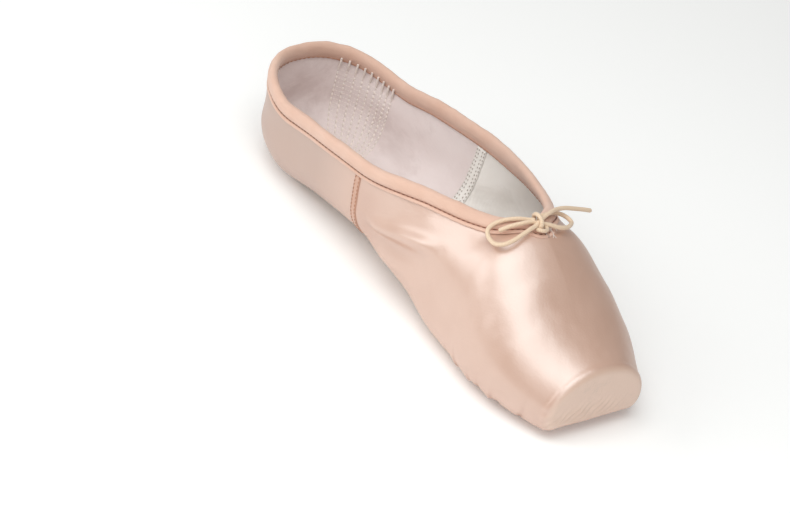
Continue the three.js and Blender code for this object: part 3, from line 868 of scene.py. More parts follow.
# %% Routes of the bow
LOOP_NEAR = [(168.8, -5.0, 67.0), (166.6, -8.8, 66.8), (164.2, -13.2, 65.5), (162.6, -17.4, 63.4),
             (163.0, -20.6, 61.4), (166.0, -22.4, 60.1), (170.4, -22.6, 59.8), (173.8, -20.6, 61.1),
             (175.2, -16.8, 63.2), (174.9, -12.2, 65.1), (174.3, -8.2, 66.4), (173.6, -5.2, 66.9)]
END_NEAR = [(171.2, -5.2, 67.6), (170.4, -8.6, 67.2), (169.2, -12.2, 66.1), (167.9, -15.4, 64.5),
            (166.8, -18.2, 62.7)]
LOOP_FAR = [(168.8, 1.0, 67.3), (168.4, 4.5, 67.2), (167.2, 9.0, 66.3), (166.6, 13.5, 64.8),
            (168.4, 16.8, 63.6), (172.0, 17.2, 63.2), (174.8, 14.0, 63.9), (176.4, 10.4, 64.8),
            (176.4, 6.8, 65.6), (175.2, 3.4, 66.5), (173.9, 1.0, 66.9)]
END_FAR = [(171.2, 1.1, 68.8), (170.2, 5.0, 69.4), (168.6, 10.0, 69.0), (168.0, 15.5, 68.1),
           (168.3, 20.5, 66.9), (168.4, 25.5, 65.5), (168.5, 30.5, 63.9)]
KNOT = (171.2, -2.0, 68.2)


def smooth_path(points, step=0.5):
    """A Catmull-Rom curve through points, as points `step` apart."""
    p = np.array(points, float)
    p = np.concatenate([[2 * p[0] - p[1]], p, [2 * p[-1] - p[-2]]])
    t = np.linspace(0, 1, 17)[:-1, None]
    parts = []
    for a, b, c, d in zip(p[:-3], p[1:-2], p[2:-1], p[3:]):
        cubic = 2 * b + (c - a) * t + (2 * a - 5 * b + 4 * c - d) * t**2 + (3 * b - a - 3 * c + d) * t**3
        parts.append(cubic / 2)
    line = np.concatenate(parts + [p[-2:-1]])
    total = np.linalg.norm(np.diff(line, axis=0), axis=1).sum()
    return spread(line, int(total / step) + 1)


cord_a_path = smooth_path([(171.0, -3.2, 67.9)] + LOOP_NEAR + [(172.6, -2.2, 67.9)] + END_FAR)
cord_b_path = smooth_path([(170.8, -0.8, 67.2)] + LOOP_FAR + [(172.3, -2.0, 66.9)] + END_NEAR)
cord_lengths = [float(np.linalg.norm(np.diff(p, axis=0), axis=1).sum()) for p in (cord_a_path, cord_b_path)]
print("Cord lengths:", [round(x, 1) for x in cord_lengths], "mm")

# %% [markdown]
# ## Cords and knot
# Cords are tubes with their own UV map, so that the braid follows them round the loops. The knot is one
# tight turn over both cords, with a small open ring below it.

# %% Cords and knot
# How far the turn over the cords and the ring below it go each way.
WRAP_REACH, WRAP_RISE, WRAP_ADVANCE = 3.3, 2.5, 1.9
RING_REACH, RING_WIDTH, RING_WAVE = 1.71, 2.3, 0.25


def tube(name, path, radius, sides=14):
    """A round cord along a path, closed with blunt ends, with UVs along and around it."""
    along = np.gradient(path, axis=0)
    along /= np.linalg.norm(along, axis=1)[:, None]
    across = np.cross(along[0], [0, 0, 1.0])
    frames = []
    for direction in along:
        across = across - direction * (across @ direction)
        across /= np.linalg.norm(across)
        frames.append((across, np.cross(direction, across)))
    angle = np.linspace(0, 2 * math.pi, sides + 1)
    run = np.concatenate([[0], np.cumsum(np.linalg.norm(np.diff(path, axis=0), axis=1))])
    full = radius * np.minimum(1, 0.7 + 0.3 * np.minimum(run, run[-1] - run) / (0.5 * radius))
    ring = np.array([[p + r * (math.cos(a) * u + math.sin(a) * v) for a in angle]
                     for p, r, (u, v) in zip(path, full, frames)])
    faces = grid_faces(*ring.shape[:2]).tolist()
    last = (len(path) - 1) * (sides + 1)
    faces += [list(range(sides)), [last + k for k in range(sides)][::-1]]
    uv = np.stack(np.broadcast_arrays(run[:, None], radius * angle[None, :]), -1).reshape(-1, 2) / 1000
    return tidy_mesh(make_mesh(name, ring.reshape(-1, 3), faces, uv), recalculate=True)


cords = [tube("drawstring_a", cord_a_path, CORD / 2), tube("drawstring_b", cord_b_path, CORD / 2)]
wrap_angle = np.linspace(math.radians(-60), math.radians(330), 40)
wrap = np.stack([
    KNOT[0] + 0.2 + WRAP_REACH * np.cos(wrap_angle),
    KNOT[1] - 0.9 + WRAP_ADVANCE * np.linspace(0, 1, 40),
    KNOT[2] - 0.6 + WRAP_RISE * np.sin(wrap_angle),
], -1)
ring_angle = np.linspace(math.radians(150), math.radians(390), 26)
under_ring = np.stack([
    KNOT[0] + 3.6 - RING_REACH * np.sin(ring_angle),
    KNOT[1] + 0.3 + RING_WIDTH * np.cos(ring_angle),
    KNOT[2] - 2.4 + RING_WAVE * np.sin(ring_angle * 2),
], -1)
knots = [
    tube("drawstring_knot_wrap", wrap, CORD / 2 * 0.98),
    tube("drawstring_knot_ring", under_ring, CORD / 2 * 0.92),
]
print("Knot faces:", [len(knot.data.polygons) for knot in knots])

# %% [markdown]
# ## Helpers for node trees
# Geometry trees and shader trees are both built from nodes and links, so a few helpers serve both. An
# input is given as a plain value or as the socket that feeds it, which keeps a tree readable from top
# to bottom.

# %% Node helpers


def node(tree, kind, inputs=None, **settings):
    """Adds a node; an input is given either a value or the socket that feeds it."""
    made = tree.nodes.new(kind)
    for key, value in settings.items():
        setattr(made, key, value)
    for key, value in (inputs or {}).items():
        if isinstance(value, bpy.types.NodeSocket):
            tree.links.new(value, made.inputs[key])
        else:
            made.inputs[key].default_value = value
    return made


def maths(tree, operation, a, b=0.0):
    """A Math node's output."""
    return node(tree, "ShaderNodeMath", {0: a, 1: b}, operation=operation).outputs[0]


def add_sockets(tree, way, sockets):
    """Adds named sockets to a tree's interface: name to kind and, for a number, its usual value."""
    for label, (kind, value) in sockets.items():
        socket = tree.interface.new_socket(label, in_out=way, socket_type="NodeSocket" + kind)
        if value is not None:
            socket.default_value = value


print("Helpers ready for both kinds of tree")

# %% [markdown]
# ## Stitches
# Stitches repeat along a seam, so Geometry Nodes place them. The tree turns a seam line into points a
# stitch apart, puts a small grain of thread on each, and turns it along the seam with a little seeded
# unevenness. It ends as real geometry with its material.

# %% Geometry Nodes tree for a row of stitches


def new_tree(name, lengths):
    """A geometry tree that takes a seam, some named lengths in metres and a material."""
    tree = bpy.data.node_groups.new(name, "GeometryNodeTree")
    add_sockets(tree, "INPUT", {"Seam": ("Geometry", None)})
    add_sockets(tree, "INPUT", {label: ("Float", value) for label, value in lengths.items()})
    add_sockets(tree, "INPUT", {"Material": ("Material", None)})
    add_sockets(tree, "OUTPUT", {"Geometry": ("Geometry", None)})
    return tree, node(tree, "NodeGroupInput").outputs


def points_along(tree, seam, step):
    """A line of edges as a curve with points a step apart."""
    curve = node(tree, "GeometryNodeMeshToCurve", {0: seam}).outputs[0]
    return node(tree, "GeometryNodeResampleCurve", {0: curve, "Length": step}, mode="LENGTH").outputs[0]


def finish_tree(tree, given, geometry):
    """Makes instances real, shades them smooth, gives them their material and ends the tree."""
    for kind in ("GeometryNodeRealizeInstances", "GeometryNodeSetShadeSmooth"):
        geometry = node(tree, kind, {0: geometry}).outputs[0]
    painted = node(tree, "GeometryNodeSetMaterial", {0: geometry, "Material": given["Material"]})
    node(tree, "NodeGroupOutput", {0: painted.outputs[0]})
    return tree


def stitch_tree():
    """Grains of thread along a line, one for each stitch."""
    tree, given = new_tree("stitch row", {
        "Spacing": 0.0025, "Stitch Length": 0.0018, "Thread Width": 0.0005, "Slant": 0.0,
        "Unevenness": 0.08})
    points = points_along(tree, given["Seam"], given["Spacing"])
    grain = node(tree, "GeometryNodeMeshUVSphere", {"Segments": 8, "Rings": 6, "Radius": 0.5})
    size = node(tree, "ShaderNodeCombineXYZ", {
        "X": given["Stitch Length"], "Y": given["Thread Width"], "Z": given["Thread Width"]})
    tangent = node(tree, "GeometryNodeInputTangent").outputs[0]
    align = node(tree, "FunctionNodeAlignRotationToVector", {"Vector": tangent}, axis="X")
    low = maths(tree, "SUBTRACT", given["Slant"], given["Unevenness"])
    high = maths(tree, "ADD", given["Slant"], given["Unevenness"])
    chance = node(tree, "FunctionNodeRandomValue", {"Seed": 4, 2: low, 3: high}, data_type="FLOAT")
    normal = node(tree, "GeometryNodeInputNormal").outputs[0]
    tilt = node(tree, "FunctionNodeAxisAngleToRotation", {"Axis": normal, "Angle": chance.outputs[1]})
    turned = node(tree, "FunctionNodeRotateRotation", {0: align.outputs[0], 1: tilt.outputs[0]},
                  rotation_space="GLOBAL")
    placed = node(tree, "GeometryNodeInstanceOnPoints", {
        "Points": points, "Instance": grain.outputs["Mesh"], "Rotation": turned.outputs[0],
        "Scale": size.outputs[0]})
    return finish_tree(tree, given, placed.outputs[0])


stitch_row = stitch_tree()
print("Inputs of the stitch tree:", [item.name for item in stitch_row.interface.items_tree])

# %% [markdown]
# ## Threads
# A loose thread or a long loop is one unbroken strand, so a second tree sweeps a small circle along the
# line. Both trees take the same kind of seam, and one function sews with either of them: it sets each
# modifier input by its identifier and turns the result into a plain mesh.

# %% Geometry Nodes tree for a thread, and sewing


def thread_tree():
    """A thin round thread along a line."""
    tree, given = new_tree("thread", {"Thread Width": 0.0004, "Detail": 0.0006})
    points = points_along(tree, given["Seam"], given["Detail"])
    half = maths(tree, "MULTIPLY", given["Thread Width"], 0.5)
    circle = node(tree, "GeometryNodeCurvePrimitiveCircle", {"Resolution": 7, "Radius": half})
    swept = node(tree, "GeometryNodeCurveToMesh", {
        "Curve": points, "Profile Curve": circle.outputs[0], "Fill Caps": True})
    return finish_tree(tree, given, swept.outputs[0])


def sew(name, lines, tree, material, **sizes):
    """Runs a tree along some lines of shoe points; the sizes are its lengths in millimetres."""
    points, edges = [], []
    for line in lines:
        first = len(points)
        points += list(line)
        edges += [(first + k, first + k + 1) for k in range(len(line) - 1)]
    mesh = bpy.data.meshes.new(name)
    mesh.from_pydata(metres(points).tolist(), edges, [])
    obj = bpy.data.objects.new(name, mesh)
    bpy.context.scene.collection.objects.link(obj)
    modifier = obj.modifiers.new("thread", "NODES")
    modifier.node_group = tree
    values = {key.replace("_", " ").title(): size / 1000 for key, size in sizes.items()}
    values["Material"] = material
    for item in tree.interface.items_tree:
        if item.in_out == "INPUT" and item.name in values:
            modifier[item.identifier] = values[item.name]
    return baked(obj)


thread_line = thread_tree()
print("Inputs of the thread tree:", [item.name for item in thread_line.interface.items_tree])

# %% [markdown]
# ## Node groups for cloth and wear
# Several finishes share two effects. Woven cloth has yarns that cross, at a spacing of its own, and a
# slow unevenness from the loom. Worn cloth and leather have soft patches of soil and scuffs. Each effect
# is one shader node group with named inputs; it puts out only heights, shades and masks, and every
# material places it with its own values.

# %% Shared node groups


def linear(code):
    """A colour written as #rrggbb, as the linear values that shaders use."""
    parts = [int(code[i:i + 2], 16) / 255 for i in (1, 3, 5)]
    return tuple(c / 12.92 if c <= 0.04045 else ((c + 0.055) / 1.055) ** 2.4 for c in parts) + (1,)


def blend_colour(tree, share, a, b):
    """Mixes two colours by a mask."""
    return node(tree, "ShaderNodeMix", {0: share, 6: a, 7: b}, data_type="RGBA").outputs[2]


def wave_share(tree, wave):
    """A wave between -1 and 1, as a share between 0 and 1."""
    return node(tree, "ShaderNodeMath", {0: wave, 1: 0.5, 2: 0.5}, operation="MULTIPLY_ADD").outputs[0]


def noise(tree, vector, scale, **settings):
    """The value of a noise texture."""
    inputs = {"Vector": vector, "Scale": scale, **{key.title(): value for key, value in settings.items()}}
    return node(tree, "ShaderNodeTexNoise", inputs).outputs[0]


def new_group(name, inputs, outputs):
    """A shader node group that takes a vector and some named numbers, and puts out masks."""
    tree = bpy.data.node_groups.new(name, "ShaderNodeTree")
    add_sockets(tree, "INPUT", {"Vector": ("Vector", None)})
    add_sockets(tree, "INPUT", {label: ("Float", value) for label, value in inputs.items()})
    add_sockets(tree, "OUTPUT", {label: ("Float", None) for label in outputs})
    return tree, node(tree, "NodeGroupInput").outputs


def weave_group():
    """Crossing yarns: plain weave at Twill 0, slanting ribs at Twill 1."""
    tree, given = new_group("woven cloth", {
        "Yarns per Metre": 1500.0, "Twill": 0.0, "Cloudiness": 60.0}, ["Height", "Shade"])
    axes = node(tree, "ShaderNodeSeparateXYZ", {0: given["Vector"]}).outputs
    turns = maths(tree, "MULTIPLY", given["Yarns per Metre"], 2 * math.pi)
    shift = maths(tree, "MULTIPLY", noise(tree, given["Vector"], 160.0), 3.0)
    along, up = [maths(tree, "ADD", maths(tree, "MULTIPLY", axis, turns), shift) for axis in axes[:2]]
    plain = maths(tree, "MULTIPLY", maths(tree, "SINE", along), maths(tree, "SINE", up))
    slant = maths(tree, "SINE", maths(tree, "ADD", along, up))
    mixed = node(tree, "ShaderNodeMix", {0: given["Twill"], 2: plain, 3: slant}).outputs[0]
    cloud = noise(tree, given["Vector"], given["Cloudiness"], detail=5.0, roughness=0.6)
    node(tree, "NodeGroupOutput", {"Height": wave_share(tree, mixed), "Shade": cloud})
    return tree


def wear_group():
    """Soft patches of soil or scuffing; Amount is about the share of the surface they cover."""
    tree, given = new_group("wear", {"Scale": 30.0, "Amount": 0.3}, ["Mask"])
    patches = noise(tree, given["Vector"], given["Scale"], detail=8.0, roughness=0.68, distortion=0.4)
    low = maths(tree, "SUBTRACT", 0.72, maths(tree, "MULTIPLY", given["Amount"], 0.5))
    high = maths(tree, "ADD", low, 0.16)
    mask = node(tree, "ShaderNodeMapRange", {0: patches, 1: low, 2: high}, interpolation_type="SMOOTHSTEP")
    node(tree, "NodeGroupOutput", {"Mask": mask.outputs[0]})
    return tree


weave, wear = weave_group(), wear_group()
print("Groups:", weave.name, "and", wear.name)

# %% [markdown]
# ## Starting a finish
# Every finish is a node material. It reads the cloth's own UV map where a weave follows the surface, or
# Object coordinates where a pattern fills space, so it stays on the piece from every side. Constants
# such as sheen and index of refraction stand on the shader's own sockets.

# %% Helpers for the finishes


def use_group(tree, group, **values):
    """Places a shared node group in a material."""
    inputs = {key.replace("_", " ").title().replace("Per", "per"): value for key, value in values.items()}
    return node(tree, "ShaderNodeGroup", inputs, node_tree=group)


def start_material(name, roughness, **constants):
    """A material with its Principled shader and the constants of that shader."""
    made = bpy.data.materials.new(name)
    made.use_nodes = True
    shader = made.node_tree.nodes["Principled BSDF"]
    shader.inputs["Roughness"].default_value = roughness
    for key, value in constants.items():
        shader.inputs[key.replace("_", " ")].default_value = value
    return made, made.node_tree, shader


def cloth_uv(tree):
    """Where a point lies on its cloth, in metres along and up."""
    return node(tree, "ShaderNodeUVMap", uv_map="cloth").outputs[0]


def object_place(tree):
    """Where a point lies on the shoe, in metres."""
    return node(tree, "ShaderNodeTexCoord").outputs["Object"]


def painted_crease_shade(tree):
    """The painted shade that the geometry keeps for its creases and stitch lines."""
    return node(tree, "ShaderNodeAttribute", attribute_name="crease").outputs["Fac"]


def tint(tree, tone, mask, strength, colour):
    """Blends a colour over a tone by a mask, at most by the strength."""
    return blend_colour(tree, maths(tree, "MULTIPLY", mask, strength), tone, colour)


def add_bump(tree, shader, height, depth, after=None):
    """A bump of a given depth in metres, on top of another bump if there is one."""
    inputs = {"Height": height, "Distance": depth, "Strength": 1.0}
    if after is not None:
        inputs["Normal"] = after
    bump = node(tree, "ShaderNodeBump", inputs).outputs[0]
    tree.links.new(bump, shader.inputs["Normal"])
    return bump


print("Weave and wear can now be placed in any finish")

# %% [markdown]
# ## Satin
# Satin has long floating yarns, so it shows a broad strong gloss over a darker colour. Shade is painted
# into its creases as a deeper tone. The flat end is paler and more matt, with a little soil, and shade
# is painted on the quarters behind the side seams. Masks along the shoe's length choose between these
# tones.

# %% Satin finish
SATIN_DEEP, SATIN_PALE = linear("#C2967E"), linear("#D2AC98")
# Painted shade: a darker orange-brown for the creases and the waist patch, and a darker tone for the
# quarters.
SATIN_CREASE_SHADE, SATIN_QUARTER_SHADE = linear("#A96F50"), linear("#A58270")
FLAT_END, SCUFFED = linear("#E2C0A9"), linear("#A08A76")


def satin_material():
    """Pale pink satin, matt and a little soiled on the flat end."""
    made, tree, shader = start_material("pink_satin", 0.36, IOR=2.8, Sheen_Weight=0.06, Sheen_Roughness=0.4)
    place_on_shoe = object_place(tree)
    cloth = use_group(tree, weave, vector=cloth_uv(tree), yarns_per_metre=2400.0, twill=0.4,
                      cloudiness=45.0)
    soil = use_group(tree, wear, vector=place_on_shoe, scale=70.0, amount=0.3).outputs[0]
    shade, height = cloth.outputs["Shade"], cloth.outputs["Height"]
    x = node(tree, "ShaderNodeSeparateXYZ", {0: place_on_shoe}).outputs[0]
    end, seam = (LENGTH + SHIFT) / 1000, (SEAM_X + SHIFT) / 1000
    # Painted shade on the quarters: it grows from the side seam over 30 mm back, to 0.75 of the darker
    # tone.
    quarter_shade = node(tree, "ShaderNodeMapRange", {0: x, 1: seam, 2: seam - 0.03, 3: 0.0, 4: 0.75}).outputs[0]
    flat = node(tree, "ShaderNodeMapRange", {0: x, 1: end - 0.0022, 2: end - 0.0004}).outputs[0]
    tone = blend_colour(tree, shade, SATIN_DEEP, SATIN_PALE)
    # Painted shade in the creases, at the pleats' feet, in the nicks and in the warm patch at the waist.
    tone = tint(tree, tone, painted_crease_shade(tree), 0.8, SATIN_CREASE_SHADE)
    tone = blend_colour(tree, quarter_shade, tone, SATIN_QUARTER_SHADE)
    tone = tint(tree, tone, flat, 0.7, FLAT_END)
    tone = tint(tree, tone, soil, maths(tree, "MULTIPLY", flat, 0.22), SCUFFED)
    tree.links.new(tone, shader.inputs["Base Color"])
    rough = node(tree, "ShaderNodeMapRange", {0: shade, 3: 0.32, 4: 0.42}).outputs[0]
    rough = maths(tree, "ADD", rough, maths(tree, "MULTIPLY", flat, 0.14))
    tree.links.new(rough, shader.inputs["Roughness"])
    fine = add_bump(tree, shader, height, 0.00001)
    add_bump(tree, shader, noise(tree, place_on_shoe, 900.0, detail=3.0), 0.00005, fine)
    return made


satin = satin_material()
print("Nodes in the satin:", len(satin.node_tree.nodes))

# %% [markdown]
# ## Cotton
# The tape, the linings, the insole's cloth and the side strips are woven too, but matt. They share one
# recipe and differ in their two near shades, the dark colour of their soil and of the shade painted into
# their creases and stitch lines, the number of yarns, the kind of weave, its depth and how soiled they are.

# %% Cotton finishes


def cotton_material(name, pale, deep, dark, yarns, twill, depth, soil_amount, roughness=0.85, **constants):
    """Matt woven cotton between two near shades, soiled, with shade painted into its creases and stitch
    lines.
    """
    made, tree, shader = start_material(name, roughness, **constants)
    cloth = use_group(tree, weave, vector=cloth_uv(tree), yarns_per_metre=yarns, twill=twill,
                      cloudiness=70.0)
    soil = use_group(tree, wear, vector=object_place(tree), scale=24.0, amount=soil_amount).outputs[0]
    gaps = maths(tree, "SUBTRACT", 1.0, cloth.outputs["Height"])
    tone = blend_colour(tree, cloth.outputs["Shade"], linear(deep), linear(pale))
    # Soil and the weave's gaps are the cloth's own; the crease mask paints shade into creases and stitch
    # lines.
    for mask, strength in ((soil, 0.25), (gaps, 0.10), (painted_crease_shade(tree), 0.75)):
        tone = tint(tree, tone, mask, strength, linear(dark))
    tree.links.new(tone, shader.inputs["Base Color"])
    add_bump(tree, shader, cloth.outputs["Height"], depth)
    return made


tape = cotton_material(
    "peach_tape", "#ECCBB9", "#DBAE97", "#9C5B3C", yarns=1300.0, twill=0.0, depth=0.00014,
    soil_amount=0.25, Sheen_Weight=0.35, Sheen_Roughness=0.5)
strip_satin = cotton_material(
    "seam_strip_satin", "#D8B09A", "#CB9E86", "#9C5B3C", yarns=2400.0, twill=0.5, depth=0.00002,
    soil_amount=0.1, roughness=0.5, Sheen_Weight=0.3, Metallic=0.1)
quarter_cotton = cotton_material(
    "quarter_cotton", "#EFE4E2", "#E2D2CF", "#A98F88", yarns=1300.0, twill=0.0, depth=0.00008,
    soil_amount=0.4)
vamp_cotton = cotton_material(
    "vamp_twill", "#F8F4F0", "#EFE9E2", "#BDB3A8", yarns=900.0, twill=1.0, depth=0.00012,
    soil_amount=0.45)
board_cotton = cotton_material(
    "insole_cotton", "#E8DEDA", "#D9CCC6", "#94847B", yarns=1000.0, twill=0.3, depth=0.0001,
    soil_amount=0.6)
cottons = [tape, strip_satin, quarter_cotton, vamp_cotton, board_cotton]
print("Cotton finishes:", [finish.name for finish in cottons])

# %% [markdown]
# ## Leather, cord and thread
# Split leather is fibrous and mottled, with worn patches. The drawstring is a cream cord with a fine
# slanting braid, which two crossing waves on its UV map draw. Sewing threads differ only in colour.

# %% Leather, cord and thread


def leather_material():
    """Split leather: fibrous, mottled and worn in patches."""
    made, tree, shader = start_material("split_leather", 0.82, Specular_IOR_Level=0.3)
    place_on_shoe = object_place(tree)
    fibres = noise(tree, place_on_shoe, 420.0, detail=8.0, roughness=0.7)
    mottle = noise(tree, place_on_shoe, 55.0, detail=6.0)
    worn = use_group(tree, wear, vector=place_on_shoe, scale=60.0, amount=0.45).outputs[0]
    tone = blend_colour(tree, mottle, linear("#8D6A4D"), linear("#B68E6B"))
    tone = tint(tree, tone, fibres, 0.35, linear("#C6A07C"))
    tone = tint(tree, tone, worn, 0.4, linear("#775540"))
    tree.links.new(tone, shader.inputs["Base Color"])
    add_bump(tree, shader, fibres, 0.00035)
    return made


def cord_material():
    """Cream cord with a fine slanting braid."""
    made, tree, shader = start_material("cream_cord", 0.62, Sheen_Weight=0.3, Sheen_Roughness=0.5)
    axes = node(tree, "ShaderNodeSeparateXYZ", {0: cloth_uv(tree)}).outputs
    along = maths(tree, "MULTIPLY", axes[0], 2 * math.pi * 900)
    around = maths(tree, "MULTIPLY", axes[1], 2 * math.pi * 1340)
    crossing = [maths(tree, "SINE", maths(tree, way, along, around)) for way in ("ADD", "SUBTRACT")]
    braid = maths(tree, "MULTIPLY", *crossing)
    tone = blend_colour(tree, wave_share(tree, braid), linear("#DDB68F"), linear("#F8E6CF"))
    tree.links.new(tone, shader.inputs["Base Color"])
    add_bump(tree, shader, braid, 0.00006)
    return made


def thread_material(name, colour, roughness=0.6):
    """Sewing thread, a little uneven in shade."""
    made, tree, shader = start_material(name, roughness, Sheen_Weight=0.2)
    uneven = noise(tree, object_place(tree), 700.0)
    base = linear(colour)
    deep = tuple(c * 0.72 for c in base[:3]) + (1,)
    tree.links.new(blend_colour(tree, uneven, deep, base), shader.inputs["Base Color"])
    return made


leather, cotton_cord = leather_material(), cord_material()
brown_thread = thread_material("brown_thread", "#7A4028")
peach_thread = thread_material("peach_thread", "#B87F60")
grey_thread = thread_material("grey_thread", "#BDB2A8")
white_thread = thread_material("white_thread", "#F8ECE4", 0.5)
cream_thread = thread_material("cream_thread", "#EAD9B8")
# Painted shadow: near-black grains stand for the shade inside the sole's needle holes.
hole_shadow = thread_material("needle_hole_shadow", "#1C130D", 0.9)
dressed = {
    satin: [satin_upper],
    tape: [collar_binding],
    strip_satin: seam_strips,
    quarter_cotton: [quarter_lining],
    vamp_cotton: [vamp_lining] + seam_bands,
    board_cotton: [insole],
    leather: [outsole],
    cotton_cord: cords + knots,
}
for finish, pieces in dressed.items():
    for piece in pieces:
        piece.data.materials.append(finish)
print("Materials:", len(bpy.data.materials))

# %% [markdown]
# ## Seams in thread
# The seams follow lines that the pieces already have: the valley of the binding and its edge inside, the
# edges of the side strips, the bands inside. Each line is computed from the same frames as its piece and
# handed to the stitch tree.

# %% Machine seams
SEAM_LINE, INNER_EDGE = (6.72, 0.40), (7.9, -2.32)  # down from the collar's edge, out from the wall
STRIP_INSET = 0.45  # of the stitches from the strip's edge
BAND_ROWS = (-2.5, -1.2, 1.2, 2.5)  # rows on the band inside, from the side seam


def ring_line(near):
    """A closed seam line round the collar."""
    line = whole_ring(near)
    return np.concatenate([line, line[:1]])


def wall_line(x, turn, side, lift, rim, count):
    """A line up the wall of the shoe, lifted out from the satin by `lift`, or in where it is negative."""
    xs, turns = np.array([x]), np.array([turn])
    rz = cut_columns(xs, turns, np.zeros(1), rim, count)
    base = place(rz, xs, turns)[0]
    out = place(rz + outward(rz), xs, turns)[0] - base
    out /= np.linalg.norm(out, axis=1)[:, None]
    height = relief(base * [1, side, 1])[0]
    return (base + out * (lift + height)[:, None]) * [1, side, 1]


def seam_lines(places, lift):
    """Lines up both sides of the shoe at the given stations."""
    return [wall_line(x, 0.0, side, lift, 9.4, 60) for x in places for side in (1, -1)]


strip_places = [SEAM_X + way * (STRIP_WIDTH / 2 - STRIP_INSET) for way in (-1, 1)]
band_places = [SEAM_X + step for step in BAND_ROWS]
seams = [
    sew("binding_seam_stitches", [ring_line(on_binding(*SEAM_LINE))], stitch_row, brown_thread,
        spacing=2.45, stitch_length=1.7, thread_width=0.42),
    sew("binding_inner_stitches", [ring_line(on_binding(*INNER_EDGE))], stitch_row, peach_thread,
        spacing=2.45, stitch_length=1.8, thread_width=0.4),
    sew("side_seam_stitches", seam_lines(strip_places, 0.5), stitch_row, peach_thread,
        spacing=2.0, stitch_length=1.5, thread_width=0.4),
    sew("lining_seam_stitches", seam_lines(band_places, -2.12), stitch_row, grey_thread,
        spacing=1.9, stitch_length=0.9, thread_width=0.55),
]
print("Seam faces:", [len(seam.data.polygons) for seam in seams])

# %% [markdown]
# ## Stitches of the sole
# Two rows of waxed thread run in the channel of the leather, and the shade in each needle hole is painted
# as a dark grain. The outline is walked once round, moved in from the edge, and handed to the same tree
# twice: once for the thread and once, a little further on, for the painted hole shadows at the stitches'
# ends.

# %% Sole stitches
CHANNEL_ROWS = (2.9, 4.9)  # in from the sole's edge
THREAD_HEIGHT, HOLE_HEIGHT = 0.37, 0.45
OUTLINE_POINTS = 700
HOLE_SHIFT = 2  # points of the outline between a stitch and its needle hole
SOLE_SPACING = 2.9


def sole_outline(inset, height):
    """The outsole's outline moved in from its edge, as one closed line."""
    half_width = through_table(*OUTSOLE_ROWS)
    x = np.linspace(OUTSOLE_ROWS[0][0], OUTSOLE_ROWS[0][-1], 260)
    side = np.stack([x, -half_width(x)], -1)
    loop = spread(np.concatenate([side, (side * [1, -1])[::-1], side[:1]]), OUTLINE_POINTS)[:-1]
    along = np.roll(loop, -4, 0) - np.roll(loop, 4, 0)
    inward = np.stack([-along[:, 1], along[:, 0]], -1)
    line = loop + inward * inset / np.linalg.norm(inward, axis=1)[:, None]
    return np.column_stack([line, sole_line(line[:, 0]) + height])


def closed_line(line, shift=0):
    """The same ring of points, started `shift` points later and closed."""
    line = np.roll(line, -shift, 0)
    return np.concatenate([line, line[:1]])


sole_rows = [closed_line(sole_outline(inset, THREAD_HEIGHT)) for inset in CHANNEL_ROWS]
hole_rows = [closed_line(sole_outline(inset, HOLE_HEIGHT), HOLE_SHIFT) for inset in CHANNEL_ROWS]
seams.append(sew("sole_stitches", sole_rows, stitch_row, cream_thread,
                 spacing=SOLE_SPACING, stitch_length=2.3, thread_width=0.6))
seams.append(sew("sole_needle_holes", hole_rows, stitch_row, hole_shadow,
                 spacing=SOLE_SPACING, stitch_length=0.75, thread_width=0.75))
print("Sole seam faces:", [len(seam.data.polygons) for seam in seams[-2:]])

# %% [markdown]
# ## Darned threads in the heel
# Inside the heel, rows of white thread have been run from the binding down to the sole, with finer
# darning across them, which keeps the heel from slipping. The rows are lines up the inner wall at equal
# turns round the heel. The stitch tree makes chain stitches of them, and the thread tree makes the long
# loops that catch the edge of the binding.

# %% Darning
DARN_ROWS = 9
WALL_POINTS = 40
darn_turns = np.linspace(0.71, 0.215, DARN_ROWS)
darned = [(turn, side) for turn in darn_turns for side in (1, -1)]


def heel_line(turn, side, lift, rim):
    """A line up the inside of a quarter, at a turn round the heel."""
    return wall_line(HEEL_CENTRE, turn, side, lift, rim, WALL_POINTS)


rows_down = [heel_line(turn, side, -1.86, 7.6) for turn, side in darned]
cross = []
for side in (1, -1):
    walls = [heel_line(turn, side, -1.82, 9.5) for turn in darn_turns]
    cross += [smooth_path([wall[k] for wall in walls], 1.2) for k in range(4, WALL_POINTS - 1, 2)]
loops = []
for side in (1, -1):
    for turn in darn_turns:
        top, low, full = [heel_line(turn, side, lift, rim)[-1]
                          for lift, rim in ((-2.95, 5.8), (-1.95, 11.5), (-3.0, 8.4))]
        middle = (top + low) / 2
        loops.append(smooth_path([top, middle + (full - middle) * 0.8, low], 0.4))
darning = [
    sew("darning_rows", rows_down, stitch_row, white_thread,
        spacing=2.2, stitch_length=2.1, thread_width=0.9),
    sew("darning_cross", cross, stitch_row, white_thread,
        spacing=1.3, stitch_length=1.0, thread_width=0.36),
    sew("darning_loops", loops, thread_line, white_thread, thread_width=1.05, detail=0.4),
]
print("Darning faces:", [len(piece.data.polygons) for piece in darning])

# %% [markdown]
# ## Frayed threads
# A few loose ends stick out of the satin just below the knot. Each is given by its root and the way it
# goes, and it bows a little by a seeded amount.

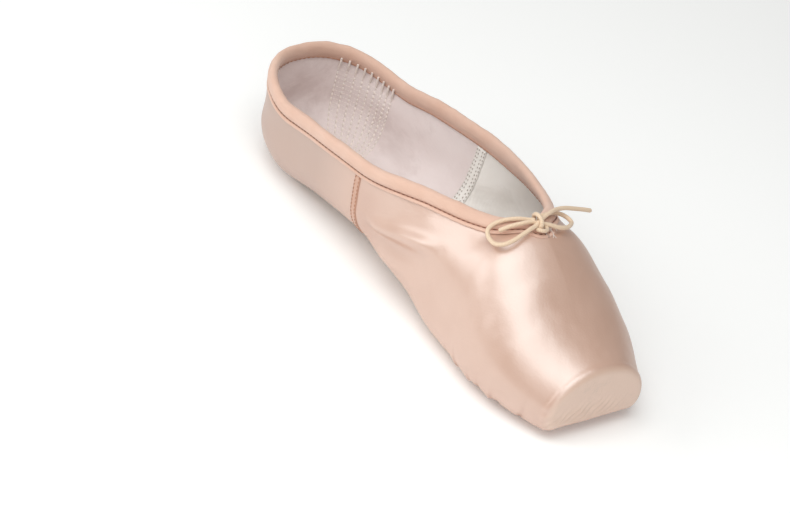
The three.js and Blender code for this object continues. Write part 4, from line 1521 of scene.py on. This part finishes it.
# %% Frayed threads
# The root of each thread and the way it goes, in millimetres.
FRAYS = [((172.5, 1.2, 66.2), (3, 2, -2)), ((173.5, 2.0, 65.8), (5, 0.5, -3.2)),
         ((174.0, 0.8, 65.3), (3.5, -0.6, -2.2)), ((172.0, 2.6, 66.4), (4, 3.4, -2.6)),
         ((174.2, 2.4, 65.0), (4.5, 1.6, -2.6))]
frays = []
rng = np.random.default_rng(12)
for root, way in FRAYS:
    root, end = np.array(root), np.array(root) + way
    middle = (root + end) / 2 + rng.normal(size=3) * 0.7 + [0, 0, 0.5]
    frays.append(smooth_path([root, middle, end], 0.5))
darning.append(sew("frayed_threads", frays, thread_line, white_thread, thread_width=0.28, detail=0.5))
print("Frayed thread faces:", len(darning[-1].data.polygons))

# %% [markdown]
# ## Place in the frame
# The shoe has no joints, so every piece rides on the one body. Soft pieces stand for their CAD solids,
# which are hidden.

# %% Riding and soft pieces
slots = {
    "satin": [satin_upper] + seam_strips,
    "binding": [collar_binding],
    "lining": [quarter_lining, vamp_lining, insole] + seam_bands,
    "leather": [outsole],
    "cotton": cords + knots,
}
for slot, pieces in slots.items():
    for piece in pieces:
        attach(piece, "root")
for piece in seams + darning:
    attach(piece, "root")
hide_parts("upper")
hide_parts("collar_binding")
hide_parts("outsole")
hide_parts("insole")
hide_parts("drawstring_loop_near", "drawstring_end_far")
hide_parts("drawstring_loop_far", "drawstring_end_near")
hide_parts("drawstring_knot")
for cord, path, millimetres in zip(cords, (cord_a_path, cord_b_path), cord_lengths):
    tuple(metres(path[0]))
    metres(path).tolist()
print("Pieces:", sum(len(pieces) for pieces in slots.values()) + len(seams) + len(darning))

# %% [markdown]
# ## Floor
# The shoe stands on a plain pale floor. It is one big square, matt and with a faint glow of its own, so
# that it stays almost white round the soft shadow. It isn't part of the shoe.

# %% Floor
FLOOR_SIZE = 4.0
FLOOR_COLOUR, FLOOR_GLOW = (0.97, 0.97, 0.965, 1), 0.10
corner = FLOOR_SIZE / 2
floor_mesh = bpy.data.meshes.new("floor")
floor_mesh.from_pydata(
    [(-corner, -corner, 0), (corner, -corner, 0), (corner, corner, 0), (-corner, corner, 0)],
    [], [(0, 1, 2, 3)])
floor = bpy.data.objects.new("floor", floor_mesh)
bpy.context.scene.collection.objects.link(floor)
floor_paint, _, floor_shader = start_material("floor_paint", 0.9, Emission_Strength=FLOOR_GLOW)
floor_shader.inputs["Base Color"].default_value = FLOOR_COLOUR
floor_shader.inputs["Emission Color"].default_value = (1, 1, 1, 1)
floor_mesh.materials.append(floor_paint)
print("Floor:", FLOOR_SIZE, "m square")

# %% [markdown]
# ## Light
# Satin shows what it mirrors, so each highlight has a panel of its own. The big one overhead draws the
# long highlight down the vamp, the one on the left draws the gloss below the dark band, and a small one
# in front opens the toe. The world is dimmer than the panels, which leaves the far side in warm shade.

# %% World and lights
WORLD_COLOUR, WORLD_STRENGTH = (1.0, 0.96, 0.93, 1), 0.31
# Name, size, power, place, target and colour; places are in metres from the shoe's middle.
PANELS = [
    ("key_softbox", (1.1, 1.0), 9.8, (0.22, -0.40, 1.08), (0.08, 0, 0), (0.96, 1, 1)),
    ("left_softbox", (0.8, 0.6), 3.8, (-0.52, -0.80, 0.56), (0.03, 0, 0.04), (0.97, 1, 1)),
    ("front_fill", (0.4, 0.4), 0.6, (0.52, -0.42, 0.34), (0.10, 0, 0.02), (1, 1, 1)),
]
world = bpy.data.worlds.new("studio")
world.use_nodes = True
world.node_tree.nodes["Background"].inputs["Color"].default_value = WORLD_COLOUR
world.node_tree.nodes["Background"].inputs["Strength"].default_value = WORLD_STRENGTH
bpy.context.scene.world = world
for name, size, power, position, target, colour in PANELS:
    light = bpy.data.lights.new(name, "AREA")
    light.shape = "RECTANGLE"
    light.size, light.size_y = size
    light.energy = power
    light.color = colour
    panel = bpy.data.objects.new(name, light)
    panel.location = position
    panel.rotation_mode = "QUATERNION"
    panel.rotation_quaternion = (Vector(target) - Vector(position)).to_track_quat("-Z", "Y")
    bpy.context.scene.collection.objects.link(panel)
bpy.context.scene.view_settings.view_transform = "Standard"
print("Lights:", [panel[0] for panel in PANELS])
